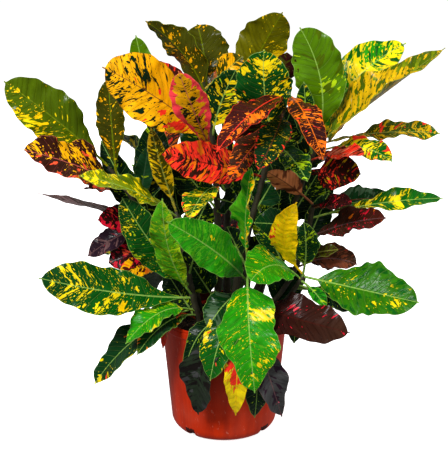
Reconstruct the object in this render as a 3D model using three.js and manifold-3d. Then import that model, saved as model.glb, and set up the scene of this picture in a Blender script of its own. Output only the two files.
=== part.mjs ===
// A croton in its nursery pot: eleven leafy stems stand in dark soil in a tapered plastic pot.
// Every leaf is a thin waved blade on a stalk, and its stalk is sunk in the stem that it grows from.
// Millimetres, +Z up, the camera side of the plant is -Y, the pot's foot rests on Z = 0.
import * as THREE from "three";
import Module from "manifold-3d";

const wasm = await Module();
wasm.setup();
const { Manifold, Mesh } = wasm;

// ---- Driving dimensions: the pot ----
const POT_HEIGHT = 150;
const POT_LIP_RADIUS = 80;
const POT_WALL = 2;
const POT_BAND_HEIGHT = 12;
const POT_BAND_STEP = 1.6;
const POT_FOOT_RADIUS = 52;
const POT_FOOT_WIDTH = 6;
const POT_CHANNEL_DEPTH = 3;
const POT_MIDDLE_RADIUS = 26;
const POT_CORNER_RADIUS = 15;
const POT_FLOOR = 2.2;
const POT_LIP_ROUND = 0.4;
const POT_LIP_EASE = 1.2;
const POT_BAND_BEVEL = 1;
const POT_SIDES = 32;
const CORNER_STEPS = 3;
const DRAIN_COUNT = 4;
const DRAIN_WIDTH = 14;
const DRAIN_HEIGHT = 10;
const DRAIN_FIRST_ANGLE = 50;
const DRAIN_OVERCUT = 1;

// ---- Driving dimensions: the soil ----
const SOIL_TOP = 138;
const SOIL_SIDES = 18;
const SOIL_SWELL = 3;
const SOIL_RINGS = [68, 54, 36, 18];
const SOIL_FOOT_INSET = 6;
const SOIL_CORNER_INSET = 3;
const SOIL_CORNER_RISE = 2;
const SOIL_SHOULDER = 4;
const SOIL_LUMPS = 3;
const FIT_GAP = 0.3;
const ROOT_DEPTH = 42;

// ---- Driving dimensions: stems and leaves ----
const STEM_SIDES = 6;
const STEM_STEPS = 5;
const STALK_HALF_WIDTH = 1.5;
const STALK_HALF_THICKNESS = 1.3;
const STALK_LENGTH = 20;
const STALK_SHARE_MOST = 0.34;
const BLADE_HALF_THICKNESS = 0.4;
const RIB_HALF_THICKNESS = 0.9;
const TIP_HALF_WIDTH = 0.7;
const BROAD_LEAF = 48;
const ACROSS_BROAD = [-1, -0.52, 0, 0.52, 1];
const ACROSS_NARROW = [-1, 0, 1];
const ALONG_BROAD = [0, 0.14, 0.38, 0.66, 0.89, 1];
const ALONG_NARROW = [0, 0.22, 0.56, 0.87, 1];
const WAVES = 2.2;
const LOBES = 2;
const BASE_POWER = 0.8;
const ROUND_POWER = 0.45;
const SLENDER_POWER = 1;
const DRIP_START = 0.975;
const FULLNESS_POWER = 0.6;
const EDGE_LAG = 1.7;
const TURN_BY_LEAF = 2.4;
const TURN_BY_PLACE = 7;
const HEADING_STEP = 0.01;
const NORMAL_STEP = 0.004;
const NORMAL_SPREAD = 0.2;

// Each stem: its name, its foot at the soil's surface [x, y], the point that pulls it, its top, its
// radius at foot and top, and its leaves. A leaf's row is:
// [share of the stem's length where it grows, tip x, tip y, tip z, width, the direction that its upper
//  face looks (x, y, z), bow and sway as shares of its length, fold in degrees, wave in mm, where it is
//  widest (1 is halfway, more is nearer the tip), lobe share, taper of its end (0 round, 1 slender)]
const STEMS = [
  {
    name: "stem_left_low",
    foot: [-30, -20],
    pull: [-42, -45, 205],
    top: [-58, -15, 285],
    radius: [4.2, 2.8],
    leaves: [
      [0.3, -214, -100, 229, 61, -1, -8, 6, 0.02, -0.036, 10, 5, 1.5, 0.09, 0.25],
      [0.16, -116, -92, 144, 36, -3, -5, 8, 0.22, 0, 10, 5, 1.1, 0.12, 0.3],
      [0.2, -155, -90, 91, 46, -6, -5, 7, 0.11, 0.01, 12, 4, 1.4, 0.16, 0.2],
      [0.12, -103, -92, 130, 30, -3, -6, 8, 0.2, 0, 14, 3, 1, 0.08, 0.2],
      [0.32, -69, -110, 326, 36, -3, -9, 4, 0.06, -0.04, 12, 4, 1.2, 0, 0.3],
      [0.4, -118, -70, 317, 48, -2, -8, 4, 0.04, -0.03, 14, 4, 1, 0, 0.1],
      [0.5, -32, -44, 250, 30, 0, -9, 4, 0.05, 0, 14, 2, 1, 0, 0.35],
      [1, -86, -26, 390, 24, -2, -9, 2, 0.04, 0, 22, 2, 1, 0, 0.35],
      [0.96, -164, -92, 348, 44, 0, -4, 9, 0.06, 0, 12, 4, 0.9, 0, 0.3],
      [0.7, -20, -20, 300, 36, 1, -9, 3, 0.05, 0, 14, 3, 1, 0, 0.35],
      [0.07, -74, -62, 126, 18, -6, -5, 6, 0.44, 0, 10, 1, 1, 0, 0.35],
      [0.05, -72, -2, 205, 36, -1, -9, 3, 0.05, 0, 14, 3, 1, 0, 0.35],
    ],
  },
  {
    name: "stem_front",
    foot: [22, -26],
    pull: [30, -48, 175],
    top: [28, -42, 232],
    radius: [4.2, 3],
    leaves: [
      [0.75, -63, -140, 308, 48, -3, -8, 6, 0.06, 0.02, 12, 4, 1.1, 0, 0.15],
      [1, 31, -95, 358, 28, -6, -7, 3, 0.04, 0, 30, 5, 1, 0.08, 0.3],
      [0.9, 4, -30, 270, 32, -2, -9, 3, 0.04, 0, 14, 2, 1, 0, 0.35],
      [0.85, 36, -120, 94, 66, 0, -9, 4, 0.2, 0.02, 10, 4, 0.85, 0.14, 0.3],
      [0.65, -19, -90, 163, 40, -4, -7, 5, 0.16, 0, 14, 3, 1, 0, 0.35],
      [0.48, -16, -114, 107, 42, -3, -8, 5, 0.25, 0, 12, 3, 1.1, 0.08, 0.2],
      [0.44, -31, -86, 50, 38, -2, -7, 7, 0.33, 0.03, 12, 4, 1.3, 0.28, 0],
      [0.15, -48, -88, 102, 24, -5, -6, 7, 0.36, 0, 12, 2, 1, 0, 0.35],
      [0.46, 14, -96, 54, 30, 0, -8, 6, 0.34, 0.02, 12, 3, 1, 0, 0.4],
      [0.42, 37, -84, 45, 32, 1, -7, 7, 0.3, 0, 12, 3, 1.1, 0, 0.35],
      [0.36, 70, -86, 47, 36, 1, -8, 5, 0.36, 0.06, 14, 5, 1.2, 0.08, 0.5],
      [0.45, 146, -110, 165, 58, 2, -7, 7, 0.1, 0.07, 12, 5, 1.1, 0.06, 0.15],
    ],
  },
  {
    name: "stem_right_low",
    foot: [52, -6],
    pull: [72, -24, 165],
    top: [98, -22, 206],
    radius: [4, 2.8],
    leaves: [
      [0.93, 30, -115, 230, 56, -1, -7, 7, 0.1, 0.12, 8, 3, 1, 0, 0.05],
      [1, 83, -85, 315, 32, -3, -9, 2, 0.04, -0.14, 16, 3, 1.1, 0, 0.5],
      [0.96, 95, -40, 279, 30, 1, -9, 3, 0.03, 0.04, 18, 3, 1, 0, 0.35],
      [0.92, 122, -60, 178, 18, 2, -6, 7, 0.08, 0, 14, 1, 1, 0, 0.35],
      [0.84, 152, -46, 168, 28, 2, -6, 7, 0.1, 0, 16, 2, 1, 0, 0.35],
      [0.78, 183, -14, 154, 30, 2, -5, 8, 0.12, 0, 14, 3, 1, 0, 0.35],
      [0.98, 228, -90, 195, 66, 2, -8, 6, 0, 0, 10, 5, 1.1, 0.05, 0.2],
      [0.5, 84, -70, 136, 26, 3, -6, 7, 0.26, 0, 14, 2, 1, 0, 0.35],
    ],
  },
  {
    name: "stem_right",
    foot: [46, 20],
    pull: [100, -10, 200],
    top: [108, -6, 292],
    radius: [4.2, 2.8],
    leaves: [
      [0.5, 163, -20, 219, 40, 1, -5, 8, 0.05, -0.12, 14, 3, 1, 0, 0.35],
      [0.6, 138, -30, 241, 18, 1, -6, 7, 0.04, 0, 14, 2, 1, 0, 0.35],
      [0.74, 190, -62, 290, 40, 1, -6, 8, 0.04, -0.03, 14, 4, 1.1, 0, 0.35],
      [0.9, 261, -32, 306, 32, 1, -5, 9, 0.05, 0.005, 16, 4, 1.8, 0, 0.3],
      [0.97, 214, 26, 290, 34, 1, -5, 8, 0.06, 0, 16, 3, 1.1, 0, 0.35],
      [0.98, 148, -70, 309, 26, 0, -7, 7, 0.05, 0, 14, 2, 1, 0, 0.35],
      [1, 52, -22, 336, 34, 1, 8, 5, 0.05, 0, 12, 3, 1, 0, 0.35],
      [0.82, 36, -27, 274, 38, -1, -7, 6, 0.05, 0, 14, 3, 1, 0, 0.35],
      [0.6, 130, 24, 298, 30, 1, -8, 5, 0.06, 0, 14, 4, 1, 0, 0.35],
      [0.4, 34, 46, 292, 34, 0, -9, 3, 0.05, 0, 14, 3, 1, 0, 0.35],
      [0.06, 92, 8, 206, 42, 1, -9, 3, 0.05, 0, 14, 3, 1, 0, 0.35],
    ],
  },
  {
    name: "stem_upper_right",
    foot: [28, 38],
    pull: [76, 30, 240],
    top: [112, 8, 362],
    radius: [4.6, 2.8],
    leaves: [
      [0.92, 158, -80, 369, 34, 1, -6, 8, 0.04, 0, 14, 3, 1.1, 0, 0.3],
      [1, 259, -4, 379, 34, 1, -5, 9, 0.04, -0.03, 18, 5, 2.2, 0, 0.7],
      [0.96, 194, -60, 357, 32, 1, -6, 8, 0.05, -0.12, 14, 4, 1.2, 0, 0.3],
      [0.98, 148, 38, 392, 20, 0, -6, 8, 0.03, 0, 18, 1, 1, 0, 0.35],
      [1, 251, -46, 486, 72, -6, -3, 8, 0.02, 0.03, 34, 4, 0.58, 0, 0.55],
      [0.95, 222, 50, 480, 60, -4, -8, 3, 0.04, -0.1, 12, 5, 1.2, 0.05, 0.1],
      [1, 88, -8, 505, 60, 1, -9, 1, 0.05, 0.1, 14, 5, 1.3, 0.04, 0],
      [0.94, 93, -24, 444, 26, -3, -9, 1, 0.04, 0, 20, 2, 1, 0, 0.35],
      [0.86, 156, 14, 332, 38, 2, -8, 5, 0.06, 0, 14, 4, 1, 0, 0.35],
      [0.84, 162, -34, 336, 47, 1, -8, 5, 0.05, 0, 14, 2, 1, 0, 0.35],
      [0.55, 120, 50, 320, 42, 1, -9, 3, 0.05, 0, 14, 3, 1, 0, 0.35],
    ],
  },
  {
    name: "stem_apex",
    foot: [8, 10],
    pull: [30, 18, 270],
    top: [76, -4, 425],
    radius: [5, 2.8],
    leaves: [
      [1, 74, -8, 476, 30, 0, -9, 2, 0.03, -0.05, 22, 2, 1, 0, 0.35],
      [0.82, 46, -30, 482, 66, -1, -9, 2, 0.03, -0.04, 12, 4, 1.25, 0, 0.1],
      [1, -8, -150, 388, 38, -2, -6, 8, 0.08, 0, 12, 3, 1, 0, 0.5],
      [0.93, 37, -135, 365, 36, 0, -6, 7, 0.05, -0.03, 12, 3, 1, 0, 0.3],
      [1, 108, -130, 375, 34, 2, -6, 7, 0.12, 0.03, 12, 3, 1, 0, 0.5],
      [0.88, 6, -110, 346, 36, -2, -7, 6, 0.08, 0, 12, 3, 1, 0, 0.35],
      [0.8, 94, -95, 342, 34, 2, -7, 6, 0.08, 0, 12, 3, 1, 0, 0.35],
      [0.66, -72, -62, 366, 48, -1, -9, 4, 0.05, 0, 14, 4, 1.2, 0, 0.1],
      [0.5, 58, 14, 312, 38, 2, -9, 3, 0.05, 0, 14, 3, 1, 0, 0.35],
      [0.2, 50, 32, 238, 40, 1, -9, 3, 0.05, 0, 14, 3, 1, 0, 0.35],
      [0.7, 84, 30, 405, 46, 1, -9, 3, 0.05, 0, 14, 4, 1.1, 0, 0.35],
    ],
  },
  {
    name: "stem_upper_left",
    foot: [-10, 24],
    pull: [0, 26, 270],
    top: [-22, 0, 432],
    radius: [5, 2.8],
    leaves: [
      [0.8, 14, -10, 456, 44, 1, -9, 2, 0.04, -0.05, 14, 4, 1, 0, 0.05],
      [0.98, -32, 28, 505, 58, 0, 9, 2, 0.04, -0.04, 12, 4, 1.2, 0.04, 0.05],
      [1, 22, 4, 470, 32, 0, -9, 2, 0.04, 0, 14, 3, 1.1, 0, 0.35],
      [0.96, -92, 4, 511, 48, -1, 5, 8, 0.04, -0.1, 14, 4, 0.8, 0, 0.4],
      [0.78, -134, -88, 470, 76, 1, -9, 5, 0.05, 0.02, 12, 5, 1.5, 0.03, 0],
      [0.92, -70, 2, 443, 34, -1, -7, 6, 0.02, 0, 14, 4, 1, 0, 0.35],
      [0.74, -50, -92, 466, 40, -1, -9, 2, 0.05, 0, 12, 3, 1.9, 0, 0.1],
      [0.9, -86, 41, 460, 26, -1, -8, 4, 0.03, 0, 14, 2, 1, 0, 0.35],
      [0.6, -38, -130, 308, 38, -2, -7, 6, 0.06, 0, 12, 3, 1, 0, 0.35],
      [0.55, 14, -20, 296, 34, 1, -9, 3, 0.05, 0, 14, 3, 1, 0, 0.35],
      [0.16, -36, 34, 232, 52, -1, -9, 3, 0.05, 0, 14, 3, 1, 0, 0.35],
      [0.5, -60, 6, 345, 44, -1, -9, 3, 0.05, 0, 14, 4, 1, 0, 0.35],
      [0.06, -42, 10, 212, 42, -1, -9, 3, 0.05, 0, 14, 3, 1, 0, 0.35],
    ],
  },
  {
    name: "stem_left",
    foot: [-44, 8],
    pull: [-76, 6, 250],
    top: [-140, -8, 340],
    radius: [4.6, 2.8],
    leaves: [
      [1, -253, -40, 447, 60, -1, -8, 6, 0.04, 0.012, 12, 5, 1.28, 0.04, 0.15],
      [0.84, -226, -92, 378, 66, -2, -7, 8, 0.05, -0.01, 12, 6, 0.95, 0.14, 0.2],
      [0.64, -220, -42, 315, 38, 0, 0, 9, -0.01, 0, 6, 1, 1, 0, 0.8],
      [0.6, -148, -60, 287, 36, -1, -8, 5, 0.04, 0, 14, 2, 1, 0, 0.35],
      [0.6, -168, -8, 226, 30, -3, -6, 5, 0.08, 0, 14, 2, 1, 0, 0.35],
      [0.46, -142, -14, 219, 38, -1, -8, 5, 0.05, 0, 14, 2, 1, 0, 0.35],
      [0.34, -128, -36, 211, 30, -1, -6, 8, 0.05, 0, 14, 2, 1, 0, 0.35],
      [0.92, -137, 0, 445, 34, -1, -9, 1, 0.03, 0, 16, 3, 1.2, 0, 0.2],
      [0.66, -85, 16, 392, 44, 0, -9, 1, 0.04, 0.04, 14, 3, 1, 0, 0.35],
      [0.7, -90, -14, 366, 22, 0, -9, 1, 0.03, 0, 16, 2, 1, 0, 0.35],
      [0.5, -150, 16, 366, 34, -1, -9, 2, 0.05, 0, 14, 3, 1, 0, 0.35],
    ],
  },
  {
    name: "stem_back_left",
    foot: [-32, 46],
    pull: [-52, 66, 230],
    top: [-74, 62, 330],
    radius: [4.6, 2.8],
    leaves: [
      [0.3, -170, 110, 190, 52, -5, 2, 8, 0.12, 0, 12, 5, 1, 0, 0.35],
      [0.4, -60, 215, 185, 54, 0, 5, 8, 0.12, 0, 12, 5, 1.1, 0.05, 0.35],
      [0.6, -185, 95, 285, 52, -4, 2, 8, 0.1, 0, 12, 5, 1, 0, 0.35],
      [0.7, -120, 210, 285, 52, -2, 5, 8, 0.1, 0, 12, 5, 1, 0, 0.35],
      [0.85, -160, 90, 365, 46, -3, 4, 8, 0.08, 0, 12, 4, 1, 0, 0.35],
      [0.95, -80, 195, 375, 50, -1, 6, 7, 0.08, 0, 12, 5, 1.1, 0.05, 0.35],
      [1, -107, 46, 490, 34, -1, -8, 3, 0.04, 0, 14, 3, 1.3, 0, 0],
      [0.2, -105, 150, 105, 42, -4, 6, 7, 0.28, 0, 12, 4, 1, 0, 0.35],
      [0.55, -66, 40, 332, 42, -1, -9, 3, 0.05, 0, 14, 3, 1, 0, 0.35],
      [0.45, -104, 36, 318, 38, -1, -9, 3, 0.05, 0, 14, 3, 1, 0, 0.35],
    ],
  },
  {
    name: "stem_back_right",
    foot: [42, 50],
    pull: [70, 66, 230],
    top: [86, 64, 320],
    radius: [4.6, 2.8],
    leaves: [
      [0.3, 175, 105, 178, 52, 5, 2, 8, 0.12, 0, 12, 5, 1, 0, 0.35],
      [0.4, 95, 215, 175, 54, 1, 5, 8, 0.12, 0, 12, 5, 1, 0, 0.35],
      [0.55, 195, 90, 265, 52, 4, 2, 8, 0.1, 0, 12, 5, 1, 0.05, 0.35],
      [0.7, 130, 215, 280, 50, 2, 5, 8, 0.1, 0, 12, 5, 1.1, 0, 0.35],
      [0.85, 190, 95, 345, 46, 3, 3, 8, 0.08, 0, 12, 4, 1, 0, 0.35],
      [0.95, 105, 200, 375, 50, 1, 6, 7, 0.08, 0, 12, 5, 1.1, 0, 0.35],
      [1, 145, 110, 415, 48, 2, 7, 4, 0.06, 0, 14, 4, 1, 0, 0.35],
      [0.2, 88, 150, 96, 40, 5, 5, 7, 0.28, 0, 12, 4, 1, 0, 0.35],
      [0.45, 72, 44, 302, 43, 0, -9, 3, 0.05, 0, 14, 3, 1, 0, 0.35],
      [0.6, 138, 40, 302, 38, 1, -9, 3, 0.05, 0, 14, 3, 1, 0, 0.35],
      [0.84, 70, 30, 384, 38, 0, -9, 3, 0.05, 0, 14, 3, 1, 0, 0.35],
      [0.9, 124, 50, 372, 36, 1, -9, 3, 0.05, 0, 14, 3, 1, 0, 0.35],
    ],
  },
  {
    name: "stem_back",
    foot: [4, 58],
    pull: [2, 76, 250],
    top: [10, 50, 392],
    radius: [5, 2.8],
    leaves: [
      [0.3, 20, 205, 235, 52, 0, 5, 8, 0.12, 0, 12, 5, 1, 0, 0.35],
      [0.55, -10, 215, 330, 52, 0, 5, 8, 0.1, 0, 12, 5, 1, 0.05, 0.35],
      [0.8, 40, 190, 425, 48, 1, 7, 6, 0.08, 0, 12, 5, 1.1, 0, 0.35],
      [0.95, -55, 120, 470, 48, -1, 8, 3, 0.06, 0, 14, 4, 1, 0, 0.35],
      [1, 70, 30, 519, 60, 0, 9, 2, 0.04, 0.02, 12, 5, 1.2, 0.05, 0.1],
      [0.2, 10, 145, 85, 46, 0, 7, 7, 0.3, 0, 12, 4, 1, 0.1, 0.35],
      [0.45, 62, 62, 345, 50, 1, -9, 3, 0.05, 0, 14, 4, 1, 0, 0.35],
      [0.6, -50, 55, 400, 50, -1, -9, 3, 0.05, 0, 14, 4, 1, 0, 0.35],
      [0.8, 60, 50, 440, 46, 1, -9, 3, 0.05, 0, 14, 4, 1, 0, 0.35],
      [0.12, 14, 68, 228, 62, 0, -9, 3, 0.05, 0, 12, 3, 1, 0, 0.35],
    ],
  },
];

// The solids' plain colours, for a first view of the part.
const STEM_COLOURS = [0x3f9a2c, 0x6fae2e, 0xd9b32c, 0x4c1f24, 0x4d8f2f, 0xd97a2a, 0xb5382c, 0x5d6a2b];
const COLOUR_POT = 0xc23a1e;
const COLOUR_SOIL = 0x17130f;
const ROUGHNESS_LEAF = 0.4;
const ROUGHNESS_POT = 0.5;
const ROUGHNESS_SOIL = 0.95;

const radians = (degrees) => (degrees * Math.PI) / 180;
const vector = (v) => new THREE.Vector3(v[0], v[1], v[2]);

// A half wave: 0 at both ends of a share and beyond them, 1 in the middle.
const hump = (share) => Math.sin(Math.PI * Math.min(Math.max(share, 0), 1));

// A closed body from points and triangles. It is turned right side out if it comes inside out.
function solid(points, triangles) {
  const build = (tris) =>
    new Manifold(
      new Mesh({
        numProp: 3,
        vertProperties: new Float32Array(points.flat()),
        triVerts: new Uint32Array(tris.flat()),
      }),
    );
  const made = build(triangles);
  if (made.volume() > 0) return made;
  return build(triangles.map(([a, b, c]) => [a, c, b]));
}

// Rings of points, each with the same count, joined into one closed body with a flat cap at each end.
function loft(rings) {
  const count = rings[0].length;
  const triangles = [];
  for (let i = 0; i + 1 < rings.length; i += 1) {
    for (let j = 0; j < count; j += 1) {
      const a = i * count + j;
      const b = i * count + ((j + 1) % count);
      triangles.push([a, b, a + count], [b, b + count, a + count]);
    }
  }
  const last = (rings.length - 1) * count;
  for (let j = 1; j + 1 < count; j += 1) {
    triangles.push([0, j + 1, j], [last, last + j, last + j + 1]);
  }
  return solid(rings.flat(), triangles);
}

// A point at a share of the way up a stem: a curve from its foot to its top, drawn towards its pull.
function stemPoint(stem, share) {
  const foot = new THREE.Vector3(stem.foot[0], stem.foot[1], SOIL_TOP);
  const first = foot.lerp(vector(stem.pull), share);
  const second = vector(stem.pull).lerp(vector(stem.top), share);
  return first.lerp(second, share);
}

// The leaf as a surface: u runs from the stem to the tip and v from the left edge to the right one.
// The stalk is a narrow strip of the same surface, and the blade's outline swells and waves past it.
class Leaf {
  constructor(stem, row, number) {
    const [at, x, y, z, width, faceX, faceY, faceZ, ...form] = row;
    const [bow, sway, fold, wave, peak, lobe, taper] = form;
    this.base = stemPoint(stem, at);
    this.chord = vector([x, y, z]).sub(this.base);
    this.length = this.chord.length();
    this.along = this.chord.clone().normalize();
    const face = vector([faceX, faceY, faceZ]);
    this.face = face.addScaledVector(this.along, -face.dot(this.along)).normalize();
    this.stalk = Math.min(STALK_LENGTH / this.length, STALK_SHARE_MOST);
    this.halfWidth = width / 2;
    this.side = this.along.clone().cross(this.face);
    this.bow = bow * this.length;
    this.sway = sway * this.length;
    this.peak = peak;
    this.fold = radians(fold);
    this.wave = wave;
    this.lobe = lobe;
    this.endPower = THREE.MathUtils.lerp(ROUND_POWER, SLENDER_POWER, taper);
    this.broad = width >= BROAD_LEAF;
    this.phase = number * TURN_BY_LEAF + at * TURN_BY_PLACE;
  }

  // How far along the blade a point is: 0 where the stalk ends, 1 at the tip, below 0 on the stalk.
  blade(u) {
    return (u - this.stalk) / (1 - this.stalk);
  }

  // The blade's half width: an oval with a lobe or two, a narrow stalk, and a narrow drip tip that
  // stands beyond its round or slender end.
  half(q, side) {
    if (q <= 0) return STALK_HALF_WIDTH;
    const place = Math.min(q / DRIP_START, 1) ** this.peak;
    const oval = hump(place) ** THREE.MathUtils.lerp(BASE_POWER, this.endPower, place);
    const lobes = 1 + this.lobe * Math.sin(2 * Math.PI * LOBES * q + this.phase + side);
    const least = STALK_HALF_WIDTH + (TIP_HALF_WIDTH - STALK_HALF_WIDTH) * q;
    return least + this.halfWidth * oval * lobes;
  }

  // The leaf's middle line: from the stem to the tip, bowed towards its face and swayed sideways.
  midrib(u) {
    const arch = 4 * u * (1 - u);
    const chord = this.base.clone().addScaledVector(this.chord, u);
    return chord.addScaledVector(this.face, arch * this.bow).addScaledVector(this.side, arch * this.sway);
  }

  // A point of the leaf's middle sheet. Both halves fold up from the rib, and the edges wave.
  point(u, v) {
    const ahead = this.midrib(u + HEADING_STEP).sub(this.midrib(u - HEADING_STEP)).normalize();
    const up = this.face.clone().addScaledVector(ahead, -this.face.dot(ahead)).normalize();
    const across = ahead.clone().cross(up);
    const q = this.blade(u);
    const half = this.half(q, Math.sign(v));
    const swell = hump(q) ** FULLNESS_POWER;
    const ripple = Math.sin(2 * Math.PI * WAVES * q + this.phase + EDGE_LAG * Math.sign(v));
    const lift = half * Math.abs(v) * Math.sin(this.fold) * swell;
    const rise = lift + this.wave * ripple * v * v * swell;
    const reach = half * v * Math.cos(this.fold * swell);
    return this.midrib(u).addScaledVector(across, reach).addScaledVector(up, rise);
  }

  // Half the thickness: a round stalk, then a thin blade with a raised rib under its middle.
  thickness(q, v) {
    if (q <= 0) return BLADE_HALF_THICKNESS + (STALK_HALF_THICKNESS - BLADE_HALF_THICKNESS) * (1 - v * v);
    const rib = RIB_HALF_THICKNESS + (BLADE_HALF_THICKNESS - RIB_HALF_THICKNESS) * q;
    return v === 0 ? rib : BLADE_HALF_THICKNESS;
  }

  // The sheet's own normal, towards its upper face.
  normal(u, v) {
    const low = Math.max(v - NORMAL_SPREAD, -1);
    const high = Math.min(v + NORMAL_SPREAD, 1);
    const ahead = this.point(u + NORMAL_STEP, v).sub(this.point(u - NORMAL_STEP, v));
    const across = this.point(u, high).sub(this.point(u, low));
    return across.cross(ahead).normalize();
  }

  // The leaf as a closed body: the sheet laid out in rows, thickened up and down.
  body() {
    const across = this.broad ? ACROSS_BROAD : ACROSS_NARROW;
    const blade = this.broad ? ALONG_BROAD : ALONG_NARROW;
    const rows = [0, ...blade.map((q) => this.stalk + q * (1 - this.stalk))];
    const rings = rows.map((u) => {
      const q = this.blade(u);
      const upper = [];
      const lower = [];
      for (const v of across) {
        const middle = this.point(u, v);
        const normal = this.normal(u, v);
        const depth = this.thickness(q, v);
        upper.push(middle.clone().addScaledVector(normal, depth).toArray());
        lower.unshift(middle.clone().addScaledVector(normal, -depth).toArray());
      }
      return upper.concat(lower);
    });
    return bladeBody(rings, across.length);
  }
}

// A leaf's rings joined into one closed body. Its two faces are split into triangles alike, so that
// the thin blade never cuts through itself where it waves.
function bladeBody(rings, wide) {
  const count = wide * 2;
  const triangles = [];
  for (let i = 0; i + 1 < rings.length; i += 1) {
    const here = i * count;
    const next = here + count;
    for (let j = 0; j + 1 < wide; j += 1) {
      const a = here + j;
      const c = next + j;
      triangles.push([a, a + 1, c], [a + 1, c + 1, c]);
      const under = here + count - 1 - j;
      const beyond = next + count - 1 - j;
      triangles.push([under - 1, under, beyond], [under - 1, beyond, beyond - 1]);
    }
    for (const [j, k] of [
      [wide - 1, wide],
      [count - 1, 0],
    ]) {
      triangles.push([here + j, here + k, next + j], [here + k, next + k, next + j]);
    }
  }
  const last = (rings.length - 1) * count;
  for (let j = 0; j + 1 < wide; j += 1) {
    const k = count - 1 - j;
    triangles.push([j + 1, j, k], [j + 1, k, k - 1]);
    triangles.push([last + j, last + j + 1, last + k], [last + j + 1, last + k - 1, last + k]);
  }
  return solid(rings.flat(), triangles);
}

// A stem: a tapering tube from its buried foot to its top. With extra radius it is the plain hole in
// the soil that the foot stands in.
function stemBody(stem, extra, buried) {
  const rings = [];
  const ring = (centre, radius) => {
    const points = [];
    for (let j = 0; j < STEM_SIDES; j += 1) {
      const angle = (j / STEM_SIDES) * 2 * Math.PI;
      const x = centre.x + radius * Math.cos(angle);
      points.push([x, centre.y + radius * Math.sin(angle), centre.z]);
    }
    return points;
  };
  const foot = stemPoint(stem, 0);
  const widest = stem.radius[0] + extra;
  rings.push(ring(foot.clone().setZ(SOIL_TOP - buried), widest));
  rings.push(ring(foot.clone().setZ(SOIL_TOP + SOIL_SWELL + 2 * FIT_GAP), widest));
  if (extra > 0) return loft(rings);
  const clear = (2 * SOIL_SWELL) / (stem.top[2] - SOIL_TOP);
  for (let i = 1; i <= STEM_STEPS; i += 1) {
    const share = clear + (i / STEM_STEPS) * (1 - clear);
    const radius = THREE.MathUtils.lerp(stem.radius[0], stem.radius[1], share);
    rings.push(ring(stemPoint(stem, share), radius));
  }
  return loft(rings);
}

// A stem with its own leaves fused on: every stalk's root is sunk to the stem's middle.
function leafyStem(stem) {
  let body = stemBody(stem, 0, ROOT_DEPTH);
  stem.leaves.forEach((row, number) => {
    body = body.add(new Leaf(stem, row, number).body());
  });
  return largest(body);
}

// The largest closed shell of a body: what blades that touch seal between them is filled.
function largest(body) {
  const shells = body.decompose();
  return shells.reduce((kept, shell) => (shell.volume() > kept.volume() ? shell : kept));
}

// A body turned round the Z axis from a profile of [radius, height] points. The profile starts and
// ends on the axis.
function turned(profile, sides, heightAt = (radius, angle, height) => height) {
  const points = [[0, 0, profile[0][1]]];
  const inner = profile.slice(1, -1);
  for (const [radius, height] of inner) {
    for (let j = 0; j < sides; j += 1) {
      const angle = (j / sides) * 2 * Math.PI;
      const z = heightAt(radius, angle, height);
      points.push([radius * Math.cos(angle), radius * Math.sin(angle), z]);
    }
  }
  const end = points.length;
  points.push([0, 0, profile[profile.length - 1][1]]);
  const triangles = [];
  for (let j = 0; j < sides; j += 1) {
    const k = (j + 1) % sides;
    triangles.push([0, 1 + k, 1 + j]);
    const lastRing = 1 + (inner.length - 1) * sides;
    triangles.push([end, lastRing + j, lastRing + k]);
    for (let i = 0; i + 1 < inner.length; i += 1) {
      const a = 1 + i * sides + j;
      const b = 1 + i * sides + k;
      triangles.push([a, b, a + sides], [b, b + sides, a + sides]);
    }
  }
  return solid(points, triangles);
}

// The pot's outer side below the band, as a radius at a height.
const cornerTop = POT_CORNER_RADIUS;
const wallFoot = POT_FOOT_RADIUS + POT_CORNER_RADIUS;
const wallHead = POT_LIP_RADIUS - POT_BAND_STEP;
const bandFoot = POT_HEIGHT - POT_BAND_HEIGHT;
const wallSlope = (wallHead - wallFoot) / (bandFoot - cornerTop);

// Points round the bottom corner, at a distance inside the outer face.
function cornerPoints(inset) {
  const points = [];
  for (let i = 0; i <= CORNER_STEPS; i += 1) {
    const angle = (i / CORNER_STEPS) * (Math.PI / 2);
    const reach = POT_CORNER_RADIUS - inset;
    const radius = POT_FOOT_RADIUS + reach * Math.sin(angle);
    points.push([radius, POT_CORNER_RADIUS - reach * Math.cos(angle)]);
  }
  return points;
}

const potInner = (height) => wallFoot - POT_WALL + wallSlope * (height - cornerTop);

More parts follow.
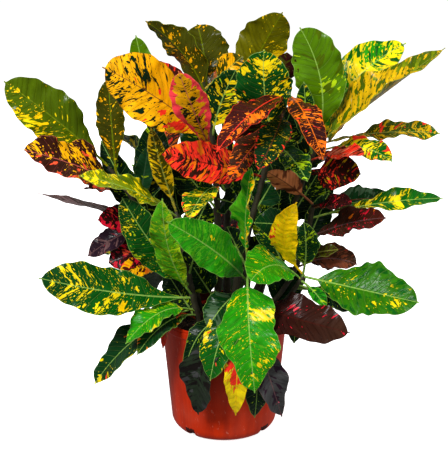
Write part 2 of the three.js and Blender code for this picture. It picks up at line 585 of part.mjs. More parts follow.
// The pot: a turned wall with a band under its lip, a floor whose middle and foot ring rest on the
// ground with a drain channel between them, and drain holes cut through the bottom corner.
function potBody() {
  const floorTop = POT_CHANNEL_DEPTH + POT_FLOOR;
  const outer = [
    [0, 0],
    [POT_MIDDLE_RADIUS, 0],
    [POT_MIDDLE_RADIUS + POT_CHANNEL_DEPTH, POT_CHANNEL_DEPTH],
    [POT_FOOT_RADIUS - POT_FOOT_WIDTH, POT_CHANNEL_DEPTH],
    [POT_FOOT_RADIUS - POT_FOOT_WIDTH, 0],
    ...cornerPoints(0),
    [wallHead, bandFoot],
    [POT_LIP_RADIUS, bandFoot + POT_BAND_BEVEL],
    [POT_LIP_RADIUS + POT_LIP_ROUND, POT_HEIGHT - POT_LIP_EASE],
    [POT_LIP_RADIUS - POT_LIP_ROUND, POT_HEIGHT],
    [POT_LIP_RADIUS - POT_WALL, POT_HEIGHT],
    [potInner(bandFoot), bandFoot],
    ...cornerPoints(POT_WALL).reverse().filter(([, height]) => height > floorTop + POT_LIP_ROUND),
    [POT_FOOT_RADIUS - POT_WALL, floorTop],
    [POT_MIDDLE_RADIUS + POT_CHANNEL_DEPTH - POT_WALL / 2, floorTop],
    [POT_MIDDLE_RADIUS - POT_WALL / 2, POT_FLOOR],
    [0, POT_FLOOR],
  ];
  let pot = turned(outer, POT_SIDES);
  const deep = POT_CORNER_RADIUS * 2;
  for (let i = 0; i < DRAIN_COUNT; i += 1) {
    const angle = DRAIN_FIRST_ANGLE + (360 / DRAIN_COUNT) * i;
    const drain = Manifold.cube([deep, DRAIN_WIDTH, DRAIN_HEIGHT + DRAIN_OVERCUT])
      .translate([POT_FOOT_RADIUS + DRAIN_OVERCUT, -DRAIN_WIDTH / 2, -DRAIN_OVERCUT])
      .rotate([0, 0, angle]);
    pot = pot.subtract(drain);
  }
  return pot;
}

// The soil fills the pot up to a little under its lip, and its top rises and falls in low lumps. The
// stems stand in plain holes in it.
function soilBody(stems) {
  const floor = POT_FLOOR + FIT_GAP;
  const ledge = POT_CHANNEL_DEPTH + floor;
  const shoulder = SOIL_TOP - SOIL_SHOULDER;
  const profile = [
    [0, floor],
    [POT_MIDDLE_RADIUS - POT_WALL, floor],
    [POT_MIDDLE_RADIUS + POT_CHANNEL_DEPTH - POT_WALL, ledge],
    [POT_FOOT_RADIUS - SOIL_FOOT_INSET, ledge],
    [wallFoot - POT_WALL - SOIL_CORNER_INSET, cornerTop + SOIL_CORNER_RISE],
    [potInner(shoulder) - 2 * FIT_GAP, shoulder],
    ...SOIL_RINGS.map((radius) => [radius, SOIL_TOP]),
    [0, SOIL_TOP],
  ];
  const swell = (radius, angle, height) => {
    if (height < SOIL_TOP) return height;
    const turn = (SOIL_LUMPS * radius) / POT_HEIGHT;
    const lump = Math.sin(SOIL_LUMPS * (angle + turn)) * Math.cos(2 * angle - SOIL_LUMPS * turn);
    return height + (SOIL_SWELL * (lump - 1)) / 2;
  };
  let soil = turned(profile, SOIL_SIDES, swell);
  for (const stem of stems) soil = soil.subtract(stemBody(stem, FIT_GAP, ROOT_DEPTH + FIT_GAP));
  return soil;
}

// A named mesh with its own colour from a closed body.
function mesh(name, body, colour, roughness) {
  const { vertProperties, triVerts } = body.getMesh();
  const geometry = new THREE.BufferGeometry();
  geometry.setAttribute("position", new THREE.BufferAttribute(vertProperties.slice(), 3));
  geometry.setIndex(new THREE.BufferAttribute(triVerts.slice(), 1));
  geometry.computeVertexNormals();
  const material = new THREE.MeshStandardMaterial({ color: colour, roughness });
  const made = new THREE.Mesh(geometry, material);
  made.name = name;
  return made;
}

const croton = new THREE.Group();
croton.name = "potted_croton";
croton.add(mesh("pot", potBody(), COLOUR_POT, ROUGHNESS_POT));
croton.add(mesh("soil", soilBody(STEMS), COLOUR_SOIL, ROUGHNESS_SOIL));
STEMS.forEach((stem, number) => {
  const colour = STEM_COLOURS[number % STEM_COLOURS.length];
  croton.add(mesh(stem.name, leafyStem(stem), colour, ROUGHNESS_LEAF));
});

export default croton;
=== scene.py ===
"""A croton in its nursery pot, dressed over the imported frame.

Eleven leafy stems stand in dark soil in a tapered plastic pot. Every leaf is one surface of two
parameters, u from the stem to the tip and v from the left edge to the right one, and its markings are
worked out from the leaf's own veins. Sizes are in millimetres and are put into meshes in metres.
"""

import logging
import math
from dataclasses import dataclass, field
from enum import Enum
from itertools import combinations

import bpy
import numpy as np
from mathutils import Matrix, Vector


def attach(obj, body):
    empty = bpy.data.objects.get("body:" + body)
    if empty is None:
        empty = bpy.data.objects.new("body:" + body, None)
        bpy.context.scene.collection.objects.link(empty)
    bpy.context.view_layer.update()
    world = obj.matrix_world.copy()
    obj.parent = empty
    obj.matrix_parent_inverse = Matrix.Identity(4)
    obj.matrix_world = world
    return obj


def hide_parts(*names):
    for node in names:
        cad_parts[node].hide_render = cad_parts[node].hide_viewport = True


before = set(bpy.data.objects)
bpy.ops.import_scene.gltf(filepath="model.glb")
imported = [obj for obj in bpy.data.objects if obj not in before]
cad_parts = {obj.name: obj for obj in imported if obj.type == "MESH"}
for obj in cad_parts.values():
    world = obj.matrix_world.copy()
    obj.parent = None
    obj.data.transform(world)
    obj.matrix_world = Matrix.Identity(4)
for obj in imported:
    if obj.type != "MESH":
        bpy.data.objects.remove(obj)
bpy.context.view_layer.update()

LOG = logging.getLogger("potted_croton")

Grid = np.ndarray
Point = tuple[float, float, float]
Span = tuple[float, float]

MM = 0.001
BODY = "root"

# The sRGB curve: a straight line up to its knee, and a power above it.
SRGB_KNEE = 0.04045
SRGB_SLOPE = 12.92
SRGB_SHIFT = 0.055
SRGB_POWER = 2.4


class Slot(Enum):
    """The record's material slots, as the stems list them."""

    POT = "pot_plastic"
    SOIL = "potting_soil"
    YELLOW_GREEN = "leaves_yellow_green"
    ORANGE_RED = "leaves_orange_red"
    DARK = "leaves_dark"


class Hue(Enum):
    """The colours of the plant, the pot and the soil, as sRGB bytes."""

    NIGHT_GREEN = (6, 34, 14)
    DEEP_GREEN = (8, 50, 16)
    LEAF_GREEN = (12, 84, 14)
    MEADOW_GREEN = (44, 106, 8)
    FRESH_GREEN = (76, 160, 18)
    GREY_GREEN = (58, 84, 56)
    TEAL_GREEN = (20, 58, 28)
    BLACK_GREEN = (32, 42, 28)
    VIVID_GREEN = (34, 134, 10)
    MOSS_GREEN = (74, 114, 4)
    OLIVE = (70, 92, 2)
    MOSS = (112, 128, 6)
    BRONZE_OLIVE = (92, 90, 4)
    DARK_OLIVE = (60, 62, 5)
    LIME = (160, 192, 16)
    LEMON = (234, 206, 12)
    CORN = (250, 200, 8)
    GOLD = (242, 172, 6)
    OCHRE = (206, 164, 8)
    ORANGE = (234, 112, 14)
    SALMON = (232, 78, 44)
    PEACH = (248, 134, 100)
    SCARLET = (242, 50, 32)
    CRIMSON = (206, 22, 46)
    PINK = (234, 96, 116)
    PINK_RED = (255, 66, 76)
    MAROON = (64, 18, 12)
    WINE = (42, 13, 12)
    BROWN = (100, 50, 30)
    RUSSET = (214, 130, 80)
    UMBER = (54, 32, 20)
    BROWN_BLACK = (46, 20, 12)
    SLATE = (60, 60, 60)
    PLUM = (38, 22, 34)
    MAUVE = (104, 74, 74)
    PALE_GREEN = (148, 188, 84)
    PALE_OLIVE = (150, 152, 62)
    ROSE = (196, 92, 84)
    POT_RED = (200, 46, 6)
    POT_DEEP = (176, 38, 8)
    POT_PALE = (226, 122, 98)
    POT_DUST = (232, 172, 152)
    # Bark: its own brown-green, kept dark partly as painted shade of the crowded inside where the stems
    # stand.
    BARK_DARK = (34, 28, 16)
    BARK_GREEN = (48, 46, 22)
    BARK_PALE = (68, 62, 38)
    # The soil's own black, also painted as shade in the pot's drain openings and on its inner face above the
    # soil.
    SOIL_AND_SHADE_BLACK = (20, 16, 14)
    SOIL_BROWN = (56, 40, 30)
    SOIL_GRIT = (130, 104, 84)
    CRUMB_BLACK = (24, 20, 18)
    CRUMB_DARK = (44, 32, 26)
    CRUMB_BROWN = (88, 46, 30)
    CRUMB_RUST = (150, 74, 40)
    CRUMB_TAN = (134, 104, 78)

    def linear(self) -> Grid:
        """The colour as linear RGB and full alpha."""
        return linear(self.value)


def linear(colour: tuple[int, int, int]) -> Grid:
    """Turns sRGB bytes into linear RGB with full alpha.

    Args:
        colour: red, green and blue from 0 to 255.

    Returns:
        Four numbers from 0 to 1.
    """
    share = np.array(colour, float) / 255
    low = share / SRGB_SLOPE
    high = ((share + SRGB_SHIFT) / (1 + SRGB_SHIFT)) ** SRGB_POWER
    return np.append(np.where(share <= SRGB_KNEE, low, high), 1.0)


@dataclass(frozen=True)
class Patch:
    """A large mark at one place of a blade.

    q and v are its middle, long and wide its reach along and across the blade, and fleck and blush say
    how much it adds to each colour there.
    """

    q: float
    v: float
    long: float
    wide: float
    fleck: float = 0.0
    blush: float = 0.0


@dataclass(frozen=True)
class Coat:
    """How one kind of leaf is coloured.

    flecks and blushes are the shares of the blade that the fleck and blush colours cover. edge, side,
    tip and heart add flecks towards the margin, the right half, the tip and the rib, and edge_blush,
    side_blush and tip_blush do so for the blush. grain is the flecks' width in mm, and stretch how many
    times longer they are along the side veins. far is the ground at the tip, where it isn't the same, and
    rib the colour of the midrib, the side veins and the margin. fade is how much of the colour under is in
    the underside, and quilt how deep the side veins are pressed in, in mm.
    """

    ground: Hue
    fleck: Hue
    blush: Hue
    flecks: float = 0.15
    blushes: float = 0.02
    grain: float = 4.0
    stretch: float = 2.2
    edge: float = 0.0
    side: float = 0.0
    tip: float = 0.0
    heart: float = 0.0
    edge_blush: float = 0.0
    side_blush: float = 0.0
    tip_blush: float = 0.0
    far: Hue | None = None
    rib: Hue = Hue.PALE_GREEN
    under: Hue = Hue.GREY_GREEN
    fade: float = 0.45
    quilt: float = 0.35
    patches: tuple[Patch, ...] = ()


class Look(Enum):
    """The looks of the leaves, by name."""

    GOLD_FEATHER = Coat(
        Hue.LEAF_GREEN, Hue.LEMON, Hue.CORN, flecks=0.05, grain=2.3, stretch=2.3, tip=-0.2, blushes=0.004,
        far=Hue.DEEP_GREEN,
        patches=(Patch(0.42, -0.6, 0.06, 0.3, blush=7.0), Patch(0.12, -0.2, 0.12, 0.9, fleck=-2.5)),
    )
    GOLD_RAGGED = Coat(
        Hue.VIVID_GREEN, Hue.LIME, Hue.LEMON, flecks=0.03, edge=1.4, grain=2.4, blushes=0.006, edge_blush=1.8,
    )
    DEEP_FEW = Coat(
        Hue.DEEP_GREEN, Hue.LEMON, Hue.SALMON, flecks=0.008, edge=0.8, grain=3.0, blushes=0.004,
        patches=(Patch(0.78, -0.7, 0.05, 0.15, fleck=2.6), Patch(0.9, -0.8, 0.04, 0.2, blush=3.0)),
    )
    DEEP_OLIVE_EDGE = Coat(
        Hue.DEEP_GREEN, Hue.OLIVE, Hue.ORANGE, flecks=0.12, side=1.2, blushes=0.008, edge_blush=1.6,
    )
    FRESH_RIMMED = Coat(
        Hue.FRESH_GREEN, Hue.LIME, Hue.MOSS_GREEN, flecks=0.12, edge=2.2, side=1.6, grain=2.2,
        blushes=0.1, tip_blush=-0.8,
    )
    DARK_DOTTED = Coat(
        Hue.LEAF_GREEN, Hue.LEMON, Hue.LIME, flecks=0.012, grain=2.2, stretch=1.3, side=-0.8, tip=0.2,
        far=Hue.DEEP_GREEN,
    )
    # Inner leaves: their own dark green, made near black partly as painted shade of the crowded inside.
    DEEP_PLAIN = Coat(Hue.NIGHT_GREEN, Hue.LIME, Hue.LEMON, flecks=0.012, blushes=0.004, grain=2.6)
    DEEP_STREAKED = Coat(Hue.DEEP_GREEN, Hue.LIME, Hue.LEMON, flecks=0.05, blushes=0.008, grain=2.6)
    TEAL_NARROW = Coat(Hue.TEAL_GREEN, Hue.OLIVE, Hue.LIME, flecks=0.04, rib=Hue.GREY_GREEN)
    SLENDER_OCHRE = Coat(
        Hue.DARK_OLIVE, Hue.OCHRE, Hue.LEMON, flecks=0.14, edge=2.6, grain=3.4, blushes=0.03,
        rib=Hue.PALE_OLIVE,
    )
    OLIVE_GOLD_WAVE = Coat(
        Hue.MOSS, Hue.LEMON, Hue.OLIVE, flecks=0.2, tip=1.1, edge=0.8, blushes=0.14, tip_blush=-1.0,
        grain=4.4, stretch=1.6, under=Hue.OCHRE, fade=0.3,
    )
    ORANGE_TAB = Coat(Hue.ORANGE, Hue.SCARLET, Hue.SCARLET, flecks=0.4, tip=1.5, rib=Hue.SALMON)
    LEAF_BRIGHT = Coat(
        Hue.VIVID_GREEN, Hue.FRESH_GREEN, Hue.LEMON, flecks=0.08, grain=1.8, blushes=0.004,
        patches=(
            Patch(0.58, 0.42, 0.035, 0.12, blush=4.4),
            Patch(0.4, -0.3, 0.03, 0.14, blush=4.2),
            Patch(0.75, 0.3, 0.1, 0.4, fleck=1.8),
        ),
    )
    HALF_LEMON = Coat(
        Hue.VIVID_GREEN, Hue.CORN, Hue.FRESH_GREEN, flecks=0.04, side=4.2, blushes=0.14, side_blush=-1.5,
        tip=-1.6, grain=5.0, stretch=1.6,
    )
    PATCHED_BRIGHT = Coat(
        Hue.VIVID_GREEN, Hue.LEMON, Hue.FRESH_GREEN, flecks=0.018, grain=2.1, stretch=2.0, blushes=0.04,
        patches=(
            Patch(0.31, -0.6, 0.055, 0.45, fleck=14.0),
            Patch(0.6, -0.7, 0.06, 0.2, fleck=2.6),
            Patch(0.62, 0.6, 0.08, 0.3, fleck=1.6),
        ),
    )
    # Painted sheen: grey-green flecks on a dark green blade stand for its grey reflection.
    PAINTED_SHEEN = Coat(Hue.DEEP_GREEN, Hue.GREY_GREEN, Hue.LIME, flecks=0.2, grain=7.0, blushes=0.004)
    EDGE_BLOBS = Coat(
        Hue.LEAF_GREEN, Hue.LEMON, Hue.SALMON, flecks=0.012, side=0.8, grain=3.6, stretch=1.2,
        blushes=0.006, tip_blush=1.2,
        patches=(Patch(0.36, 0.85, 0.05, 0.2, fleck=4.4), Patch(0.56, 0.8, 0.07, 0.2, fleck=4.4)),
    )
    BLACK_WRINKLED = Coat(
        Hue.BLACK_GREEN, Hue.SOIL_AND_SHADE_BLACK, Hue.SLATE, flecks=0.16, blushes=0.03, quilt=0.9, rib=Hue.BLACK_GREEN,
    )
    BLACK_SPECKED = Coat(
        Hue.SLATE, Hue.PINK, Hue.PLUM, flecks=0.004, grain=3.4, stretch=1.4, quilt=0.8, blushes=0.16,
        rib=Hue.MAUVE,
        patches=(Patch(0.3, 0.2, 0.1, 0.4, fleck=2.6), Patch(0.55, -0.6, 0.05, 0.2, fleck=2.6)),
    )
    LEMON_RED = Coat(
        Hue.LEMON, Hue.SCARLET, Hue.ORANGE, flecks=0.012, grain=3.4, stretch=1.0, blushes=0.01, rib=Hue.CORN,
        quilt=0.1,
        patches=(Patch(0.5, 0.3, 0.1, 0.5, fleck=8.0), Patch(0.67, 0.15, 0.08, 0.45, fleck=8.4)),
    )
    MAROON_SPARKED = Coat(
        Hue.WINE, Hue.CRIMSON, Hue.PINK, flecks=0.005, grain=3.0, blushes=0.002, far=Hue.UMBER,
        rib=Hue.MAROON, under=Hue.MAROON, fade=0.2, quilt=0.2,
        patches=(Patch(0.42, -0.3, 0.08, 0.3, fleck=3.4),),
    )
    ROUND_BRIGHT = Coat(
        Hue.VIVID_GREEN, Hue.LEMON, Hue.FRESH_GREEN, flecks=0.012, grain=2.0, blushes=0.06, quilt=0.5,
        patches=(Patch(0.35, 0.5, 0.16, 0.3, fleck=2.6),),
    )
    LEMON_PLAIN = Coat(
        Hue.CORN, Hue.LEMON, Hue.SCARLET, flecks=0.08, grain=2.0, stretch=1.0, blushes=0.004, side_blush=-1.8,
        rib=Hue.CORN, fade=0.15, quilt=0.12,
        patches=(Patch(0.5, -0.9, 0.07, 0.3, blush=5.0),),
    )
    DEEP_SPECKED = Coat(
        Hue.DEEP_GREEN, Hue.LIME, Hue.LEMON, flecks=0.05, grain=2.0, stretch=1.3, blushes=0.006,
    )
    YOUNG_GREEN = Coat(Hue.LEAF_GREEN, Hue.VIVID_GREEN, Hue.LIME, flecks=0.3, blushes=0.01)
    TIP_BLOBS = Coat(
        Hue.MEADOW_GREEN, Hue.LEMON, Hue.LEAF_GREEN, flecks=0.006, side=0.3, grain=3.0, stretch=1.3,
        blushes=0.12,
        patches=(
            Patch(0.8, 0.35, 0.055, 0.25, fleck=7.0),
            Patch(0.72, -0.45, 0.05, 0.22, fleck=3.8),
            Patch(0.44, -0.35, 0.04, 0.2, fleck=3.4),
            Patch(0.6, 0.5, 0.05, 0.3, fleck=3.0),
        ),
    )
    UMBER_DULL = Coat(
        Hue.UMBER, Hue.BROWN, Hue.SCARLET, flecks=0.2, blushes=0.004, rib=Hue.MAUVE, under=Hue.MAUVE,
    )
    OLIVE_DULL = Coat(Hue.DARK_OLIVE, Hue.UMBER, Hue.OCHRE, flecks=0.3, blushes=0.01, rib=Hue.PALE_OLIVE)
    MAROON_EMBER = Coat(
        Hue.UMBER, Hue.CRIMSON, Hue.ORANGE, flecks=0.014, side=0.8, tip=0.8, grain=2.8, blushes=0.006,
        tip_blush=1.0, rib=Hue.MAUVE, under=Hue.MAUVE, far=Hue.MAROON,
    )
    LEAF_TO_GOLD = Coat(
        Hue.DARK_OLIVE, Hue.LEMON, Hue.LEAF_GREEN, flecks=0.14, tip=0.8, blushes=0.3, tip_blush=3.0,
        grain=3.4, stretch=2.6, far=Hue.VIVID_GREEN,
        patches=(Patch(0.62, 0.2, 0.06, 0.5, fleck=3.0),),
    )
    GREY_RIBBED = Coat(Hue.DEEP_GREEN, Hue.GREY_GREEN, Hue.LIME, flecks=0.14, blushes=0.006, rib=Hue.BROWN)
    MAROON_PINK = Coat(
        Hue.WINE, Hue.CRIMSON, Hue.SALMON, flecks=0.014, grain=2.4, stretch=1.5, rib=Hue.MAROON,
    )
    BROWN_BACK = Coat(
        Hue.RUSSET, Hue.BROWN, Hue.MAUVE, flecks=0.12, blushes=0.01, grain=7.0, rib=Hue.UMBER, fade=0.05,
        under=Hue.RUSSET,
    )
    DULL_GREEN = Coat(Hue.TEAL_GREEN, Hue.DEEP_GREEN, Hue.LIME, flecks=0.5, grain=8.0, blushes=0.004)
    EMBER_STRIPED = Coat(
        Hue.SCARLET, Hue.MAROON, Hue.PEACH, flecks=0.22, grain=2.2, stretch=4.0, blushes=0.14, edge_blush=0.5,
        rib=Hue.SALMON, under=Hue.MAUVE, fade=0.2,
    )
    BROWN_TO_GOLD = Coat(
        Hue.DARK_OLIVE, Hue.OCHRE, Hue.SCARLET, flecks=0.09, tip=1.0, grain=2.8, stretch=1.8, blushes=0.015,
        edge_blush=2.4, rib=Hue.PALE_OLIVE, far=Hue.LEAF_GREEN,
    )
    GREEN_RED_EDGE = Coat(
        Hue.LEAF_GREEN, Hue.LEMON, Hue.SCARLET, flecks=0.16, grain=3.0, blushes=0.01, edge_blush=4.4,
    )
    DARK_SPIKE = Coat(Hue.PLUM, Hue.UMBER, Hue.MAUVE, flecks=0.3, rib=Hue.UMBER)
    OCHRE_MOTTLE = Coat(
        Hue.OCHRE, Hue.OLIVE, Hue.MOSS, flecks=0.32, grain=4.6, stretch=1.2, blushes=0.06,
        rib=Hue.PALE_OLIVE, under=Hue.OCHRE, fade=0.1,
    )
    BRIGHT_GOLD = Coat(
        Hue.VIVID_GREEN, Hue.LEMON, Hue.LEAF_GREEN, flecks=0.2, tip=2.4, grain=3.8, stretch=1.5, blushes=0.16,
        edge_blush=0.2,
    )
    OLIVE_RIBBED = Coat(
        Hue.MOSS_GREEN, Hue.LIME, Hue.OLIVE, flecks=0.004, grain=5.0, blushes=0.06, tip_blush=1.0,
        patches=(Patch(0.42, 0.45, 0.08, 0.4, fleck=3.2), Patch(0.34, -0.5, 0.06, 0.3, fleck=2.6)),
    )
    RED_DULL = Coat(
        Hue.WINE, Hue.SCARLET, Hue.OCHRE, flecks=0.07, edge=0.8, grain=3.0, blushes=0.03, edge_blush=1.2,
        rib=Hue.MAROON, far=Hue.UMBER,
    )
    RED_BRIGHT = Coat(
        Hue.SCARLET, Hue.MAROON, Hue.ORANGE, flecks=0.26, grain=2.8, stretch=3.0, blushes=0.1, rib=Hue.MAROON,
    )
    MAROON_PLAIN = Coat(Hue.WINE, Hue.DARK_OLIVE, Hue.SCARLET, flecks=0.16, blushes=0.01, rib=Hue.MAROON)
    GOLD_DENSE = Coat(
        Hue.DEEP_GREEN, Hue.LEMON, Hue.ORANGE, flecks=0.05, side=0.5, grain=3.2, stretch=1.8,
        blushes=0.004, edge_blush=0.8, tip_blush=1.6, far=Hue.LEAF_GREEN,
        patches=(Patch(0.34, 0.4, 0.1, 0.4, fleck=3.2), Patch(0.82, 0.2, 0.1, 0.6, fleck=2.4)),
    )
    EMBER_FOLDED = Coat(
        Hue.WINE, Hue.ORANGE, Hue.SCARLET, flecks=0.014, tip=1.4, grain=3.0, stretch=1.8, blushes=0.006,
        edge_blush=2.0, rib=Hue.SCARLET, far=Hue.MAROON,
        patches=(Patch(0.52, -0.5, 0.09, 0.5, fleck=9.0), Patch(0.84, -0.3, 0.12, 0.5, fleck=2.4)),
    )
    GREY_RED_EDGE = Coat(
        Hue.DEEP_GREEN, Hue.OCHRE, Hue.SCARLET, flecks=0.02, grain=2.0, stretch=2.0, blushes=0.005,
        edge_blush=5.0, tip_blush=0.8, far=Hue.NIGHT_GREEN, rib=Hue.BROWN,
    )
    FLAME_STRIPED = Coat(
        Hue.WINE, Hue.ORANGE, Hue.SCARLET, flecks=0.08, grain=2.2, stretch=3.4, blushes=0.012, edge_blush=1.6,
        rib=Hue.ORANGE, under=Hue.MAUVE,
    )
    FLAME_DARK = Coat(
        Hue.UMBER, Hue.ORANGE, Hue.SCARLET, flecks=0.06, grain=3.0, stretch=2.2, blushes=0.02,
        edge_blush=1.6, rib=Hue.SALMON,
    )
    RED_VEINED = Coat(
        Hue.SCARLET, Hue.BROWN_BLACK, Hue.ORANGE, flecks=0.13, edge=-1.0, grain=2.4, stretch=2.8,
        blushes=0.08, edge_blush=1.0, rib=Hue.MAROON, under=Hue.MAUVE,
    )
    GREEN_PATCHED = Coat(
        Hue.DEEP_GREEN, Hue.LEMON, Hue.LIME, flecks=0.12, grain=3.4, side=0.8, blushes=0.02,
    )
    OLIVE_AMBER = Coat(
        Hue.DARK_OLIVE, Hue.GOLD, Hue.CORN, flecks=0.012, edge=0.5, grain=3.6, stretch=1.3, blushes=0.008,
        rib=Hue.MOSS, under=Hue.DARK_OLIVE, fade=0.1,
    )
    OLIVE_CALM = Coat(
        Hue.BRONZE_OLIVE, Hue.CORN, Hue.LEMON, flecks=0.012, side=-0.8, grain=3.0, stretch=1.3, blushes=0.003,
        rib=Hue.MOSS, under=Hue.BRONZE_OLIVE, fade=0.1,
    )
    OLIVE_SAIL = Coat(
        Hue.OLIVE, Hue.CORN, Hue.LEMON, flecks=0.01, edge=0.6, side=-0.8, grain=3.4, stretch=1.8,
        blushes=0.01, fade=0.2, rib=Hue.MOSS,
        patches=(
            Patch(0.55, -0.85, 0.16, 0.3, blush=4.2),
            Patch(0.86, -0.1, 0.06, 0.25, fleck=3.0),
            Patch(0.6, -0.35, 0.04, 0.14, fleck=3.4),
        ),
    )
    OLIVE_FLAME = Coat(
        Hue.DARK_OLIVE, Hue.GOLD, Hue.LEMON, flecks=0.22, grain=3.6, stretch=2.2, blushes=0.03,
        rib=Hue.PALE_OLIVE,
    )
    AMBER_SHIELD = Coat(
        Hue.GOLD, Hue.NIGHT_GREEN, Hue.SCARLET, flecks=0.05, tip=1.5, edge=0.5, grain=3.8, stretch=1.8,
        blushes=0.006, edge_blush=0.8, rib=Hue.BROWN, under=Hue.OCHRE, fade=0.3,
        patches=(
            Patch(0.68, 0.4, 0.045, 0.22, fleck=4.6),
            Patch(0.84, -0.5, 0.08, 0.3, fleck=2.2),
            Patch(0.26, -0.5, 0.12, 0.42, blush=8.4),
            Patch(0.46, -0.4, 0.035, 0.16, blush=4.4),
            Patch(0.42, 0.6, 0.2, 0.5, fleck=-2.0),
        ),
    )
    GREY_FLAMES = Coat(
        Hue.BLACK_GREEN, Hue.GOLD, Hue.ORANGE, flecks=0.26, tip=-1.2, grain=3.6, stretch=2.6, blushes=0.04,
        rib=Hue.PALE_OLIVE,
    )
    PINK_RIMMED = Coat(
        Hue.GOLD, Hue.NIGHT_GREEN, Hue.PINK_RED, flecks=0.06, heart=1.6, grain=3.6, stretch=1.6,
        blushes=0.02, edge_blush=14.0, rib=Hue.ROSE, under=Hue.GOLD, fade=0.1,
        patches=(Patch(0.72, -0.35, 0.08, 0.3, fleck=2.8), Patch(0.8, 0.35, 0.08, 0.3, fleck=2.2)),
    )
    WINE_SCARLET = Coat(
        Hue.WINE, Hue.CRIMSON, Hue.SALMON, flecks=0.12, grain=5.0, stretch=1.3, blushes=0.04, rib=Hue.MAROON,
        under=Hue.MAUVE,
    )
    PLUM_DARK = Coat(Hue.PLUM, Hue.MAUVE, Hue.CRIMSON, flecks=0.03, grain=4.0, blushes=0.008, rib=Hue.MAUVE)
    AMBER_EDGE = Coat(
        Hue.MAROON, Hue.GOLD, Hue.ORANGE, flecks=0.35, edge=3.0, grain=6.0, blushes=0.2, rib=Hue.OCHRE,
    )
    MAROON_AMBER = Coat(
        Hue.BROWN_BLACK, Hue.GOLD, Hue.SALMON, flecks=0.05, side=0.6, grain=4.0, stretch=1.3, blushes=0.03,
        side_blush=-1.6, edge_blush=1.0, rib=Hue.ROSE, under=Hue.MAUVE,
        patches=(Patch(0.6, 0.5, 0.045, 0.45, fleck=6.4), Patch(0.3, 0.3, 0.04, 0.2, fleck=2.4)),
    )
    MAUVE_BACK = Coat(
        Hue.UMBER, Hue.MAUVE, Hue.BROWN_BLACK, flecks=0.3, stretch=4.0, blushes=0.1, fade=0.1, rib=Hue.MAUVE,
        under=Hue.UMBER,
    )


# Sizes shared by every stem and leaf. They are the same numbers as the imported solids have.
SOIL_TOP = 138.0
SOIL_SWELL = 3.0
SOIL_LUMPS = 3
ROOT_DEPTH = 42.0
STALK_HALF_WIDTH = 1.5
STALK_HALF_THICKNESS = 1.3
STALK_LENGTH = 20.0
STALK_SHARE_MOST = 0.34
BLADE_HALF_THICKNESS = 0.4
RIB_HALF_THICKNESS = 0.9
TIP_HALF_WIDTH = 0.7
WAVES = 2.2
LOBES = 2
BASE_POWER = 0.8
ROUND_POWER = 0.45
SLENDER_POWER = 1.0
DRIP_START = 0.975
FULLNESS_POWER = 0.6
EDGE_LAG = 1.7
TURN_BY_LEAF = 2.4
TURN_BY_PLACE = 7.0
HEADING_STEP = 0.01

# What the fine blade adds to the solid one.
ROW_PITCH = 1.8
ROW_COUNTS = (22, 96)
ROW_CROWD = 0.35
COLUMN_PITCH = 2.6
COLUMN_COUNTS = (5, 13)
STALK_ROWS = 5
CRINKLES = 7.3
CRINKLE_SHARE = 0.34
JAG_SHARE = 0.055
JAG_WAVES = (4.7, 8.3)
VEIN_SLANT = 0.62
VEIN_CURL = 0.005
VEIN_WANDER = 0.2
VEIN_SLOW = 1.7
VEIN_CROSS = 0.13
VEIN_GAP_LEAST = 5.0
VEIN_GAP_SHARE = 0.055
GROOVE_POWER = 5
GROOVE_BELOW = 0.5
RIB_REACH = 1.2
RIB_ABOVE = 0.3
RIB_LINE = (1.25, 0.4)
SHARP_ANGLE = math.radians(48)
WOOD_RINGS = 60
WOOD_SIDES = 16
BURIED_RINGS = 4
BURIED_GAP = 2.0
BUD_LEAST = 0.16
BUD_TIP = 0.6
SCAR_REACH = 3.5
SCAR_SWELL = 0.22

# How the marks lie on a blade.
SHARE_SPREAD = 0.05
EDGE_POWER = 4
HEART_WIDTH = 0.25
MARK_SHIFT = (11.3, 5.7)

VEINS = "veins"
FLECKS = "flecks"
GROUND = "ground"
FLECK = "fleck"
BLUSH = "blush"
RIB = "rib"
SHARES = "shares"


def unit(vectors: Grid) -> Grid:
    """Each vector divided by its own length."""
    return vectors / np.linalg.norm(vectors, axis=-1, keepdims=True)


def hump(share: Grid) -> Grid:
    """A half wave: 0 at both ends of a share and beyond them, 1 in the middle."""
    return np.sin(np.pi * np.clip(share, 0.0, 1.0))


def logit(share: float) -> float:
    """The natural log of a share over what it leaves."""
    return math.log(share / (1.0 - share))


def bell(distance: Grid) -> Grid:
    """1 at 0, falling to 0 with the square of the distance."""
    return np.exp(-(distance**2))


def mixed(first: Grid, second: Grid, share: float | Grid) -> Grid:
    """The first value moved to the second by a share."""
    return first + (second - first) * share


def linked(name: str, data: bpy.types.ID) -> bpy.types.Object:
    """Makes an object and links it to the scene.

    Args:
        name: its name.
        data: its mesh, light or camera.

    Returns:
        The new object.
    """
    made = bpy.data.objects.new(name, data)
    bpy.context.scene.collection.objects.link(made)
    return made


